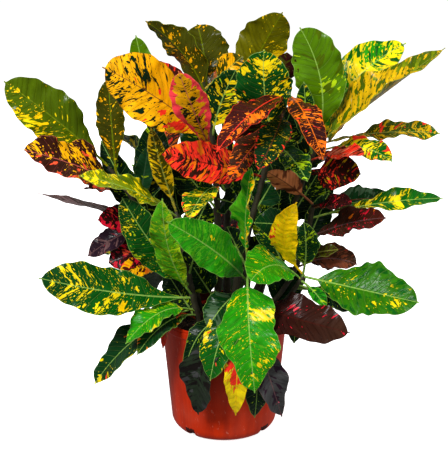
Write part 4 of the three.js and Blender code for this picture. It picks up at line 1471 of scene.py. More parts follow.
    def shares(self, q: Grid, v: Grid) -> Grid:
        """How much fleck and blush each point gets, as what the finish adds to its noise.

        It is a small number times the sum of the log of the look's share over what it leaves, and of what
        its edge, side, tip, heart and patches add, each a smooth function of q and v.

        Args:
            q: (n, 1) shares of the blade.
            v: (1, m) shares across.

        Returns:
            (n, m, 4) the fleck's number, the blush's, the distance to the margin in mm, and 1.
        """
        look = self.look
        edge = np.abs(v) ** EDGE_POWER
        heart = bell(v / HEART_WIDTH)
        ahead = 2 * q - 1
        fleck = logit(look.flecks) + look.edge * edge + look.side * v + look.tip * ahead
        blush = logit(look.blushes) + look.edge_blush * edge + look.side_blush * v + look.tip_blush * ahead
        fleck = fleck + look.heart * heart
        for patch in look.patches:
            near = bell((q - patch.q) / patch.long) * bell((v - patch.v) / patch.wide)
            fleck = fleck + patch.fleck * near
            blush = blush + patch.blush * near
        margin = self.half(q, np.sign(v)) * (1 - np.abs(v))
        numbers = (fleck * SHARE_SPREAD, blush * SHARE_SPREAD, margin, np.ones(1))
        return np.stack(np.broadcast_arrays(*numbers), axis=-1)

    def grow(self, surface: Surface) -> None:
        """Adds the leaf to a surface as a closed thin blade on a round stalk.

        The sheet is offset along its own normal by half its thickness each way: a round section on the
        stalk, 0.4 mm on the blade, and a rib that stands out below. Side veins press a groove into the
        upper face where their number is whole, and stand out half as much below.

        Args:
            surface: what the leaf is added to.
        """
        steps = int(np.clip(self.length * (1 - self.stalk) / ROW_PITCH, *ROW_COUNTS))
        sides = int(np.clip(self.leaf.width / 2 / COLUMN_PITCH, *COLUMN_COUNTS))
        s = np.linspace(0.0, 1.0, steps)
        blade = mixed(s, (1 - np.cos(np.pi * s)) / 2, ROW_CROWD)
        stalk = np.linspace(0.0, self.stalk, STALK_ROWS, endpoint=False)
        u = np.concatenate([stalk, self.stalk + blade * (1 - self.stalk)])
        v = np.linspace(-1.0, 1.0, 2 * sides + 1)
        q = self.blade(u)[:, None]
        v_row = v[None, :]
        sheet = self.sheet(u, v)
        normal = unit(np.cross(np.gradient(sheet, axis=1), np.gradient(sheet, axis=0)))
        count, out = self.vein_place(q, v_row)
        groove = np.abs(np.cos(np.pi * count)) ** GROOVE_POWER * (1 - v_row**EDGE_POWER) * hump(q)
        on_stalk = q <= 0
        stalk_half = mixed(BLADE_HALF_THICKNESS, STALK_HALF_THICKNESS, 1 - v_row**2)
        rib = (RIB_HALF_THICKNESS - BLADE_HALF_THICKNESS) * (1 - np.clip(q, 0, 1)) * bell(out / RIB_REACH)
        above = np.where(on_stalk, stalk_half, BLADE_HALF_THICKNESS + RIB_ABOVE * rib)
        below = np.where(on_stalk, stalk_half, BLADE_HALF_THICKNESS + rib)
        dip = np.where(on_stalk, 0.0, self.look.quilt * groove)
        upper = sheet + normal * (above - dip)[..., None]
        lower = sheet - normal * (below + GROOVE_BELOW * dip)[..., None]
        self.shell(surface, upper, lower, count, out, self.shares(q, v_row), q)

    def shell(
        self, surface: Surface, upper: Grid, lower: Grid, count: Grid, out: Grid, shares: Grid, q: Grid
    ) -> None:
        """Joins the upper and the lower face into one closed shell with its maps and colours.

        Args:
            surface: what the shell is added to.
            upper: (n, m, 3) points of the upper face.
            lower: (n, m, 3) points of the lower face.
            count: (n, m) the side veins' numbers.
            out: (n, m) distances from the midrib in mm.
            shares: (n, m, 4) numbers for the fleck and blush masks.
            q: (n, 1) shares of the blade.
        """
        look = self.look
        rows, columns = out.shape
        size = rows * columns
        index = np.arange(size).reshape(rows, columns)
        borders = (index[:, 0], index[::-1, -1], index[0, ::-1], index[-1])
        rims = [ribbon_quads(border, border + size) for border in borders]
        faces = grid_quads(rows, columns)
        quads = np.concatenate([faces, faces[:, ::-1] + size, *rims])
        fleck_x = count * self.vein_gap() / look.grain
        fleck_y = out / (look.grain * look.stretch)
        shift = self.seed * np.array(MARK_SHIFT)
        flecks = np.stack([fleck_x, fleck_y], axis=-1).reshape(-1, 2) + shift
        rib = mixed(*RIB_LINE, np.clip(q, 0, 1))
        veins = np.stack([count, out / rib], axis=-1).reshape(-1, 2)
        far = (look.far or look.ground).linear()
        reach = np.clip(q, 0, 1)[..., None] * np.ones((1, columns, 1))
        colours = {GROUND: mixed(look.ground.linear(), far, reach**2).reshape(-1, 4)}
        for name, hue in ((FLECK, look.fleck), (BLUSH, look.blush), (RIB, look.rib)):
            colours[name] = np.tile(hue.linear(), (size, 1))
        values = {SHARES: np.tile(shares.reshape(-1, 4), (2, 1))}
        for name, colour in colours.items():
            values[name] = np.concatenate([colour, mixed(colour, look.under.linear(), look.fade)])
        points = np.concatenate([upper.reshape(-1, 3), lower.reshape(-1, 3)])
        maps = {VEINS: np.tile(veins, (2, 1)), FLECKS: np.tile(flecks, (2, 1))}
        surface.add(points, quads, maps=maps, values=values)


# A leaf's row has its at, tip, width, face, bow, sway, fold, wave, peak, lobe, taper and look. The dark
# leaves of the inside, whose near-black ground is partly painted shade, have the plain values of the last
# four.
STEMS = (
    Stem(
        "stem_left_low", Slot.YELLOW_GREEN, (-30, -20), (-42, -45, 205), (-58, -15, 285), (4.2, 2.8),
        (
            Leaf(
                0.3, (-214, -100, 229), 61, (-1, -8, 6), 0.02, -0.036, 10, 5, 1.5, 0.09, 0.25,
                Look.GOLD_FEATHER,
            ),
            Leaf(0.16, (-116, -92, 144), 36, (-3, -5, 8), 0.22, 0, 10, 5, 1.1, 0.12, 0.3, Look.GOLD_RAGGED),
            Leaf(0.2, (-155, -90, 91), 46, (-6, -5, 7), 0.11, 0.01, 12, 4, 1.4, 0.16, 0.2, Look.DEEP_FEW),
            Leaf(0.12, (-103, -92, 130), 30, (-3, -6, 8), 0.2, 0, 14, 3, 1, 0.08, 0.2, Look.DEEP_OLIVE_EDGE),
            Leaf(0.32, (-69, -110, 326), 36, (-3, -9, 4), 0.06, -0.04, 12, 4, 1.2, 0, 0.3, Look.FRESH_RIMMED),
            Leaf(0.4, (-118, -70, 317), 48, (-2, -8, 4), 0.04, -0.03, 14, 4, 1, 0, 0.1, Look.DARK_DOTTED),
            Leaf(0.5, (-32, -44, 250), 30, (0, -9, 4), 0.05, 0, 14, 2),
            Leaf(1, (-86, -26, 390), 24, (-2, -9, 2), 0.04, 0, 22, 2, 1, 0, 0.35, Look.SLENDER_OCHRE),
            Leaf(0.96, (-164, -92, 348), 44, (0, -4, 9), 0.06, 0, 12, 4, 0.9, 0, 0.3, Look.OLIVE_GOLD_WAVE),
            Leaf(0.7, (-20, -20, 300), 36, (1, -9, 3), 0.05, 0, 14, 3),
            Leaf(0.07, (-74, -62, 126), 18, (-6, -5, 6), 0.44, 0, 10, 1, 1, 0, 0.35, Look.ORANGE_TAB),
            Leaf(0.05, (-72, -2, 205), 36, (-1, -9, 3), 0.05, 0, 14, 3),
        ),
    ),
    Stem(
        "stem_front", Slot.YELLOW_GREEN, (22, -26), (30, -48, 175), (28, -42, 232), (4.2, 3),
        (
            Leaf(0.75, (-63, -140, 308), 48, (-3, -8, 6), 0.06, 0.02, 12, 4, 1.1, 0, 0.15, Look.LEAF_BRIGHT),
            Leaf(1, (31, -95, 358), 28, (-6, -7, 3), 0.04, 0, 30, 5, 1, 0.08, 0.3, Look.HALF_LEMON),
            Leaf(0.9, (4, -30, 270), 32, (-2, -9, 3), 0.04, 0, 14, 2),
            Leaf(
                0.85, (36, -120, 94), 66, (0, -9, 4), 0.2, 0.02, 10, 4, 0.85, 0.14, 0.3,
                Look.PATCHED_BRIGHT,
            ),
            Leaf(0.65, (-19, -90, 163), 40, (-4, -7, 5), 0.16, 0, 14, 3, 1, 0, 0.35, Look.PAINTED_SHEEN),
            Leaf(0.48, (-16, -114, 107), 42, (-3, -8, 5), 0.25, 0, 12, 3, 1.1, 0.08, 0.2, Look.EDGE_BLOBS),
            Leaf(0.44, (-31, -86, 50), 38, (-2, -7, 7), 0.33, 0.03, 12, 4, 1.3, 0.28, 0, Look.BLACK_WRINKLED),
            Leaf(0.15, (-48, -88, 102), 24, (-5, -6, 7), 0.36, 0, 12, 2),
            Leaf(0.46, (14, -96, 54), 30, (0, -8, 6), 0.34, 0.02, 12, 3, 1, 0, 0.4, Look.LEMON_RED),
            Leaf(0.42, (37, -84, 45), 32, (1, -7, 7), 0.3, 0, 12, 3, 1.1, 0, 0.35, Look.DEEP_PLAIN),
            Leaf(0.36, (70, -86, 47), 36, (1, -8, 5), 0.36, 0.06, 14, 5, 1.2, 0.08, 0.5, Look.BLACK_SPECKED),
            Leaf(
                0.45, (146, -110, 165), 58, (2, -7, 7), 0.1, 0.07, 12, 5, 1.1, 0.06, 0.15,
                Look.MAROON_SPARKED,
            ),
        ),
    ),
    Stem(
        "stem_right_low", Slot.YELLOW_GREEN, (52, -6), (72, -24, 165), (98, -22, 206), (4, 2.8),
        (
            Leaf(0.93, (30, -115, 230), 56, (-1, -7, 7), 0.1, 0.12, 8, 3, 1, 0, 0.05, Look.ROUND_BRIGHT),
            Leaf(1, (83, -85, 315), 32, (-3, -9, 2), 0.04, -0.14, 16, 3, 1.1, 0, 0.5, Look.LEMON_PLAIN),
            Leaf(0.96, (95, -40, 279), 30, (1, -9, 3), 0.03, 0.04, 18, 3, 1, 0, 0.35, Look.DEEP_SPECKED),
            Leaf(0.92, (122, -60, 178), 18, (2, -6, 7), 0.08, 0, 14, 1, 1, 0, 0.35, Look.YOUNG_GREEN),
            Leaf(0.84, (152, -46, 168), 28, (2, -6, 7), 0.1, 0, 16, 2),
            Leaf(0.78, (183, -14, 154), 30, (2, -5, 8), 0.12, 0, 14, 3),
            Leaf(0.98, (228, -90, 195), 66, (2, -8, 6), 0, 0, 10, 5, 1.1, 0.05, 0.2, Look.TIP_BLOBS),
            Leaf(0.5, (84, -70, 136), 26, (3, -6, 7), 0.26, 0, 14, 2),
        ),
    ),
    Stem(
        "stem_right", Slot.DARK, (46, 20), (100, -10, 200), (108, -6, 292), (4.2, 2.8),
        (
            Leaf(0.5, (163, -20, 219), 40, (1, -5, 8), 0.05, -0.12, 14, 3, 1, 0, 0.35, Look.UMBER_DULL),
            Leaf(0.6, (138, -30, 241), 18, (1, -6, 7), 0.04, 0, 14, 2, 1, 0, 0.35, Look.OLIVE_DULL),
            Leaf(0.74, (190, -62, 290), 40, (1, -6, 8), 0.04, -0.03, 14, 4, 1.1, 0, 0.35, Look.MAROON_EMBER),
            Leaf(0.9, (261, -32, 306), 32, (1, -5, 9), 0.05, 0.005, 16, 4, 1.8, 0, 0.3, Look.LEAF_TO_GOLD),
            Leaf(0.97, (214, 26, 290), 34, (1, -5, 8), 0.06, 0, 16, 3, 1.1, 0, 0.35, Look.GREY_RIBBED),
            Leaf(0.98, (148, -70, 309), 26, (0, -7, 7), 0.05, 0, 14, 2, 1, 0, 0.35, Look.MAROON_PINK),
            Leaf(1, (52, -22, 336), 34, (1, 8, 5), 0.05, 0, 12, 3, 1, 0, 0.35, Look.BROWN_BACK),
            Leaf(0.82, (36, -27, 274), 38, (-1, -7, 6), 0.05, 0, 14, 3, 1, 0, 0.35, Look.DULL_GREEN),
            Leaf(0.6, (130, 24, 298), 30, (1, -8, 5), 0.06, 0, 14, 4),
            Leaf(0.4, (34, 46, 292), 34, (0, -9, 3), 0.05, 0, 14, 3, 1, 0, 0.35, Look.DEEP_STREAKED),
            Leaf(0.06, (92, 8, 206), 42, (1, -9, 3), 0.05, 0, 14, 3),
        ),
    ),
    Stem(
        "stem_upper_right", Slot.YELLOW_GREEN, (28, 38), (76, 30, 240), (112, 8, 362), (4.6, 2.8),
        (
            Leaf(0.92, (158, -80, 369), 34, (1, -6, 8), 0.04, 0, 14, 3, 1.1, 0, 0.3, Look.EMBER_STRIPED),
            Leaf(1, (259, -4, 379), 34, (1, -5, 9), 0.04, -0.03, 18, 5, 2.2, 0, 0.7, Look.BROWN_TO_GOLD),
            Leaf(0.96, (194, -60, 357), 32, (1, -6, 8), 0.05, -0.12, 14, 4, 1.2, 0, 0.3, Look.GREEN_RED_EDGE),
            Leaf(0.98, (148, 38, 392), 20, (0, -6, 8), 0.03, 0, 18, 1, 1, 0, 0.35, Look.DARK_SPIKE),
            Leaf(1, (251, -46, 486), 72, (-6, -3, 8), 0.02, 0.03, 34, 4, 0.58, 0, 0.55, Look.OCHRE_MOTTLE),
            Leaf(0.95, (222, 50, 480), 60, (-4, -8, 3), 0.04, -0.1, 12, 5, 1.2, 0.05, 0.1, Look.BRIGHT_GOLD),
            Leaf(1, (88, -8, 505), 60, (1, -9, 1), 0.05, 0.1, 14, 5, 1.3, 0.04, 0, Look.OLIVE_RIBBED),
            Leaf(0.94, (93, -24, 444), 26, (-3, -9, 1), 0.04, 0, 20, 2, 1, 0, 0.35, Look.DEEP_STREAKED),
            Leaf(0.86, (156, 14, 332), 38, (2, -8, 5), 0.06, 0, 14, 4, 1, 0, 0.35, Look.RED_DULL),
            Leaf(0.84, (162, -34, 336), 47, (1, -8, 5), 0.05, 0, 14, 2, 1, 0, 0.35, Look.RED_DULL),
            Leaf(0.55, (120, 50, 320), 42, (1, -9, 3), 0.05, 0, 14, 3),
        ),
    ),
    Stem(
        "stem_apex", Slot.ORANGE_RED, (8, 10), (30, 18, 270), (76, -4, 425), (5, 2.8),
        (
            Leaf(1, (74, -8, 476), 30, (0, -9, 2), 0.03, -0.05, 22, 2, 1, 0, 0.35, Look.MAROON_PLAIN),
            Leaf(0.82, (46, -30, 482), 66, (-1, -9, 2), 0.03, -0.04, 12, 4, 1.25, 0, 0.1, Look.GOLD_DENSE),
            Leaf(1, (-8, -150, 388), 38, (-2, -6, 8), 0.08, 0, 12, 3, 1, 0, 0.5, Look.EMBER_FOLDED),
            Leaf(0.93, (37, -135, 365), 36, (0, -6, 7), 0.05, -0.03, 12, 3, 1, 0, 0.3, Look.GREY_RED_EDGE),
            Leaf(1, (108, -130, 375), 34, (2, -6, 7), 0.12, 0.03, 12, 3, 1, 0, 0.5, Look.FLAME_STRIPED),
            Leaf(0.88, (6, -110, 346), 36, (-2, -7, 6), 0.08, 0, 12, 3, 1, 0, 0.35, Look.FLAME_DARK),
            Leaf(0.8, (94, -95, 342), 34, (2, -7, 6), 0.08, 0, 12, 3, 1, 0, 0.35, Look.DEEP_STREAKED),
            Leaf(0.66, (-72, -62, 366), 48, (-1, -9, 4), 0.05, 0, 14, 4, 1.2, 0, 0.1, Look.RED_VEINED),
            Leaf(0.5, (58, 14, 312), 38, (2, -9, 3), 0.05, 0, 14, 3, 1, 0, 0.35, Look.DULL_GREEN),
            Leaf(0.2, (50, 32, 238), 40, (1, -9, 3), 0.05, 0, 14, 3),
            Leaf(0.7, (84, 30, 405), 46, (1, -9, 3), 0.05, 0, 14, 4, 1.1, 0, 0.35, Look.DEEP_PLAIN),
        ),
    ),
    Stem(
        "stem_upper_left", Slot.ORANGE_RED, (-10, 24), (0, 26, 270), (-22, 0, 432), (5, 2.8),
        (
            Leaf(0.8, (14, -10, 456), 44, (1, -9, 2), 0.04, -0.05, 14, 4, 1, 0, 0.05, Look.GREEN_PATCHED),
            Leaf(0.98, (-32, 28, 505), 58, (0, 9, 2), 0.04, -0.04, 12, 4, 1.2, 0.04, 0.05, Look.OLIVE_AMBER),
            Leaf(1, (22, 4, 470), 32, (0, -9, 2), 0.04, 0, 14, 3, 1.1, 0, 0.35, Look.OLIVE_FLAME),
            Leaf(0.96, (-92, 4, 511), 48, (-1, 5, 8), 0.04, -0.1, 14, 4, 0.8, 0, 0.4, Look.OLIVE_AMBER),
            Leaf(0.78, (-134, -88, 470), 76, (1, -9, 5), 0.05, 0.02, 12, 5, 1.5, 0.03, 0, Look.AMBER_SHIELD),
            Leaf(0.92, (-70, 2, 443), 34, (-1, -7, 6), 0.02, 0, 14, 4, 1, 0, 0.35, Look.GREY_FLAMES),
            Leaf(0.74, (-50, -92, 466), 40, (-1, -9, 2), 0.05, 0, 12, 3, 1.9, 0, 0.1, Look.PINK_RIMMED),
            Leaf(0.9, (-86, 41, 460), 26, (-1, -8, 4), 0.03, 0, 14, 2, 1, 0, 0.35, Look.RED_BRIGHT),
            Leaf(0.6, (-38, -130, 308), 38, (-2, -7, 6), 0.06, 0, 12, 3, 1, 0, 0.35, Look.GREEN_RED_EDGE),
            Leaf(0.55, (14, -20, 296), 34, (1, -9, 3), 0.05, 0, 14, 3),
            Leaf(0.16, (-36, 34, 232), 52, (-1, -9, 3), 0.05, 0, 14, 3),
            Leaf(0.5, (-60, 6, 345), 44, (-1, -9, 3), 0.05, 0, 14, 4),
            Leaf(0.06, (-42, 10, 212), 42, (-1, -9, 3), 0.05, 0, 14, 3),
        ),
    ),
    Stem(
        "stem_left", Slot.DARK, (-44, 8), (-76, 6, 250), (-140, -8, 340), (4.6, 2.8),
        (
            Leaf(1, (-253, -40, 447), 60, (-1, -8, 6), 0.04, 0.012, 12, 5, 1.28, 0.04, 0.15, Look.OLIVE_SAIL),
            Leaf(
                0.84, (-226, -92, 378), 66, (-2, -7, 8), 0.05, -0.01, 12, 6, 0.95, 0.14, 0.2,
                Look.MAROON_AMBER,
            ),
            Leaf(0.64, (-220, -42, 315), 38, (0, 0, 9), -0.01, 0, 6, 1, 1, 0, 0.8, Look.MAUVE_BACK),
            Leaf(0.6, (-148, -60, 287), 36, (-1, -8, 5), 0.04, 0, 14, 2, 1, 0, 0.35, Look.WINE_SCARLET),
            Leaf(0.6, (-168, -8, 226), 30, (-3, -6, 5), 0.08, 0, 14, 2, 1, 0, 0.35, Look.PLUM_DARK),
            Leaf(0.46, (-142, -14, 219), 38, (-1, -8, 5), 0.05, 0, 14, 2, 1, 0, 0.35, Look.WINE_SCARLET),
            Leaf(0.34, (-128, -36, 211), 30, (-1, -6, 8), 0.05, 0, 14, 2, 1, 0, 0.35, Look.AMBER_EDGE),
            Leaf(0.92, (-137, 0, 445), 34, (-1, -9, 1), 0.03, 0, 16, 3, 1.2, 0, 0.2, Look.OLIVE_AMBER),
            Leaf(0.66, (-85, 16, 392), 44, (0, -9, 1), 0.04, 0.04, 14, 3),
            Leaf(0.7, (-90, -14, 366), 22, (0, -9, 1), 0.03, 0, 16, 2, 1, 0, 0.35, Look.TEAL_NARROW),
            Leaf(0.5, (-150, 16, 366), 34, (-1, -9, 2), 0.05, 0, 14, 3),
        ),
    ),
    Stem(
        "stem_back_left", Slot.DARK, (-32, 46), (-52, 66, 230), (-74, 62, 330), (4.6, 2.8),
        (
            Leaf(0.3, (-170, 110, 190), 52, (-5, 2, 8), 0.12, 0, 12, 5, 1, 0, 0.35, Look.DEEP_FEW),
            Leaf(0.4, (-60, 215, 185), 54, (0, 5, 8), 0.12, 0, 12, 5, 1.1, 0.05, 0.35, Look.GOLD_FEATHER),
            Leaf(0.6, (-185, 95, 285), 52, (-4, 2, 8), 0.1, 0, 12, 5, 1, 0, 0.35, Look.MAROON_AMBER),
            Leaf(0.7, (-120, 210, 285), 52, (-2, 5, 8), 0.1, 0, 12, 5, 1, 0, 0.35, Look.GOLD_RAGGED),
            Leaf(0.85, (-160, 90, 365), 46, (-3, 4, 8), 0.08, 0, 12, 4, 1, 0, 0.35, Look.GREEN_PATCHED),
            Leaf(0.95, (-80, 195, 375), 50, (-1, 6, 7), 0.08, 0, 12, 5, 1.1, 0.05, 0.35, Look.FLAME_DARK),
            Leaf(1, (-107, 46, 490), 34, (-1, -8, 3), 0.04, 0, 14, 3, 1.3, 0, 0, Look.OLIVE_RIBBED),
            Leaf(0.2, (-105, 150, 105), 42, (-4, 6, 7), 0.28, 0, 12, 4, 1, 0, 0.35, Look.BLACK_WRINKLED),
            Leaf(0.55, (-66, 40, 332), 42, (-1, -9, 3), 0.05, 0, 14, 3),
            Leaf(0.45, (-104, 36, 318), 38, (-1, -9, 3), 0.05, 0, 14, 3),
        ),
    ),
    Stem(
        "stem_back_right", Slot.DARK, (42, 50), (70, 66, 230), (86, 64, 320), (4.6, 2.8),
        (
            Leaf(0.3, (175, 105, 178), 52, (5, 2, 8), 0.12, 0, 12, 5, 1, 0, 0.35, Look.FRESH_RIMMED),
            Leaf(0.4, (95, 215, 175), 54, (1, 5, 8), 0.12, 0, 12, 5, 1, 0, 0.35, Look.DEEP_STREAKED),
            Leaf(0.55, (195, 90, 265), 52, (4, 2, 8), 0.1, 0, 12, 5, 1, 0.05, 0.35, Look.GOLD_DENSE),
            Leaf(0.7, (130, 215, 280), 50, (2, 5, 8), 0.1, 0, 12, 5, 1.1, 0, 0.35, Look.WINE_SCARLET),
            Leaf(0.85, (190, 95, 345), 46, (3, 3, 8), 0.08, 0, 12, 4, 1, 0, 0.35, Look.MAROON_EMBER),
            Leaf(0.95, (105, 200, 375), 50, (1, 6, 7), 0.08, 0, 12, 5, 1.1, 0, 0.35, Look.BRIGHT_GOLD),
            Leaf(1, (145, 110, 415), 48, (2, 7, 4), 0.06, 0, 14, 4, 1, 0, 0.35, Look.LEAF_TO_GOLD),
            Leaf(0.2, (88, 150, 96), 40, (5, 5, 7), 0.28, 0, 12, 4, 1, 0, 0.35, Look.BLACK_WRINKLED),
            Leaf(0.45, (72, 44, 302), 43, (0, -9, 3), 0.05, 0, 14, 3),
            Leaf(0.6, (138, 40, 302), 38, (1, -9, 3), 0.05, 0, 14, 3),
            Leaf(0.84, (70, 30, 384), 38, (0, -9, 3), 0.05, 0, 14, 3),
            Leaf(0.9, (124, 50, 372), 36, (1, -9, 3), 0.05, 0, 14, 3),
        ),
    ),
    Stem(
        "stem_back", Slot.DARK, (4, 58), (2, 76, 250), (10, 50, 392), (5, 2.8),
        (
            Leaf(0.3, (20, 205, 235), 52, (0, 5, 8), 0.12, 0, 12, 5, 1, 0, 0.35, Look.MAROON_PINK),
            Leaf(0.55, (-10, 215, 330), 52, (0, 5, 8), 0.1, 0, 12, 5, 1, 0.05, 0.35, Look.GREEN_PATCHED),
            Leaf(0.8, (40, 190, 425), 48, (1, 7, 6), 0.08, 0, 12, 5, 1.1, 0, 0.35, Look.GOLD_FEATHER),
            Leaf(0.95, (-55, 120, 470), 48, (-1, 8, 3), 0.06, 0, 14, 4, 1, 0, 0.35, Look.FLAME_DARK),
            Leaf(1, (70, 30, 519), 60, (0, 9, 2), 0.04, 0.02, 12, 5, 1.2, 0.05, 0.1, Look.OLIVE_CALM),
            Leaf(0.2, (10, 145, 85), 46, (0, 7, 7), 0.3, 0, 12, 4, 1, 0.1, 0.35, Look.DEEP_PLAIN),
            Leaf(0.45, (62, 62, 345), 50, (1, -9, 3), 0.05, 0, 14, 4),
            Leaf(0.6, (-50, 55, 400), 50, (-1, -9, 3), 0.05, 0, 14, 4, 1, 0, 0.35, Look.DEEP_STREAKED),
            Leaf(0.8, (60, 50, 440), 46, (1, -9, 3), 0.05, 0, 14, 4, 1, 0, 0.35, Look.MAROON_PLAIN),
            Leaf(0.12, (14, 68, 228), 62, (0, -9, 3), 0.05, 0, 12, 3),
        ),
    ),
)


@dataclass(frozen=True)
class Pot:
    """A moulded nursery pot: a tapered wall with a band and a rolled lip, a rounded bottom corner, a foot
    ring and a flat middle that rest on the ground, and drain openings through the corner.

    groove has how far below the lip each of its points is, and how deep. ease and bevel are the steps of
    small edges, first_drain, inner_turn and crease are in degrees, and rows and steps are counts.
    """

    height: float = 150.0
    lip_radius: float = 80.0
    wall: float = 2.0
    band_height: float = 12.0
    band_step: float = 1.6
    foot_radius: float = 52.0
    foot_width: float = 6.0
    channel_depth: float = 3.0
    middle_radius: float = 26.0
    corner_radius: float = 15.0
    floor: float = 2.2
    groove: tuple[Span, ...] = ((4.6, 0.0), (4.0, 0.5), (3.2, 0.5), (2.6, 0.0))
    drains: int = 4
    drain_width: float = 14.0
    drain_height: float = 10.0
    drain_inset: float = 1.0
    first_drain: float = 50.0
    ease: float = 0.4
    bevel: float = 0.3
    channel_ease: float = 0.5
    middle_ease: float = 6.0
    wall_from: float = 22.0
    band_gap: float = 1.5
    inner_turn: float = -72.0
    wall_rows: int = 14
    inner_rows: int = 8
    corner_steps: int = 12
    inner_steps: int = 8
    lip_steps: int = 10
    around: int = 160
    crease: float = 32.0

    def outer(self, height: float) -> float:
        """The wall's outer radius.

        Args:
            height: a height between the corner and the band.

        Returns:
            The radius there.
        """
        foot = self.foot_radius + self.corner_radius
        head = self.lip_radius - self.band_step
        rise = self.height - self.band_height - self.corner_radius
        return foot + (head - foot) * (height - self.corner_radius) / rise

    def profile(self) -> Grid:
        """The pot's section.

        Returns:
            (n, 2) radii and heights, out along the underside, up the outer wall, over the lip and down
            the inner wall to the floor.
        """
        band = self.height - self.band_height
        middle = self.middle_radius
        ring = self.foot_radius - self.foot_width
        lip = self.lip_radius - self.wall / 2
        roll = self.wall / 2
        corner = (self.foot_radius, self.corner_radius)
        floor = self.floor + self.channel_depth
        deep, ease, bevel = self.channel_depth, self.ease, self.bevel
        wall = np.linspace(self.wall_from, band - self.band_gap, self.wall_rows)
        inner = np.linspace(band, self.wall_from, self.inner_rows)
        pieces = [
            [(0.0, 0.0), (middle - self.middle_ease, 0.0), (middle, 0.0), (middle + 2 * ease, bevel)],
            [(middle + deep, deep), (ring - ease, deep), (ring, deep - self.channel_ease)],
            [(ring, ease), (ring + ease, 0.0)],
            arc(corner, self.corner_radius, -90.0, 0.0, self.corner_steps),
            [(self.outer(height), height) for height in wall],
            [(self.outer(band), band - ease), (self.outer(band) + bevel, band)],
            [(self.lip_radius - ease, band + bevel), (self.lip_radius, band + 3 * bevel)],
            [(self.lip_radius - cut, self.height - down) for down, cut in self.groove],
            arc((lip, self.height - roll), roll, 0.0, 180.0, self.lip_steps),
            [(self.outer(height) - self.wall, height) for height in inner],
            arc(corner, self.corner_radius - self.wall, 0.0, self.inner_turn, self.inner_steps),
            [(self.foot_radius - self.wall, floor), (middle + deep, floor)],
            [(middle, self.floor), (0.0, self.floor)],
        ]
        return np.concatenate([np.array(points, float) for points in pieces])

    def cutter(self, number: int) -> bpy.types.Object:
        """Makes a block that stands where one drain opening is cut.

        Args:
            number: the drain's place among the drains.

        Returns:
            The block.
        """
        deep = self.corner_radius * 2
        tall = self.drain_height * 2
        corners = np.array([[x, y, z] for x in (0, 1) for y in (-0.5, 0.5) for z in (-0.5, 0.5)])
        local = corners * (deep, self.drain_width, tall) + (self.foot_radius + self.drain_inset, 0, 0)
        turn = turned(math.radians(self.first_drain + 360 / self.drains * number))
        faces = [[0, 1, 3, 2], [4, 6, 7, 5], [0, 4, 5, 1], [2, 3, 7, 6], [0, 2, 6, 4], [1, 5, 7, 3]]
        mesh = bpy.data.meshes.new("drain_cutter")
        mesh.from_pydata((local @ turn * MM).tolist(), [], faces)
        return linked("drain_cutter", mesh)

    def build(self) -> list[bpy.types.Object]:
        """Turns the pot, cuts its drains and dresses it.

        Returns:
            The pot's one piece.
        """
        profile = self.profile()
        x, y = circle(profile[1:-1, 0], self.around)
        z = np.repeat(profile[1:-1, 1:], self.around, axis=1)
        ends = [np.array([0.0, 0.0, profile[end, 1]]) for end in (0, -1)]
        surface = Surface()
        surface.add(*closed_rings(np.stack([x, y, z], axis=-1), *ends))
        inside = self.lip_radius - self.wall
        finish = PotFinish(self.first_drain, self.foot_radius * MM, inside * MM)
        pot = surface.piece("pot_fine", finish.build())
        cutters = [self.cutter(number) for number in range(self.drains)]
        for cutter in cutters:
            cut = pot.modifiers.new("drain", "BOOLEAN")
            cut.object = cutter
            cut.operation = "DIFFERENCE"
            cut.solver = "EXACT"
        depsgraph = bpy.context.evaluated_depsgraph_get()
        mesh = bpy.data.meshes.new_from_object(pot.evaluated_get(depsgraph))
        pot.modifiers.clear()
        pot.data = mesh
        for cutter in cutters:
            bpy.data.objects.remove(cutter)
        mesh.set_sharp_from_angle(angle=math.radians(self.crease))
        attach(pot, BODY)
        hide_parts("pot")
        return [pot]


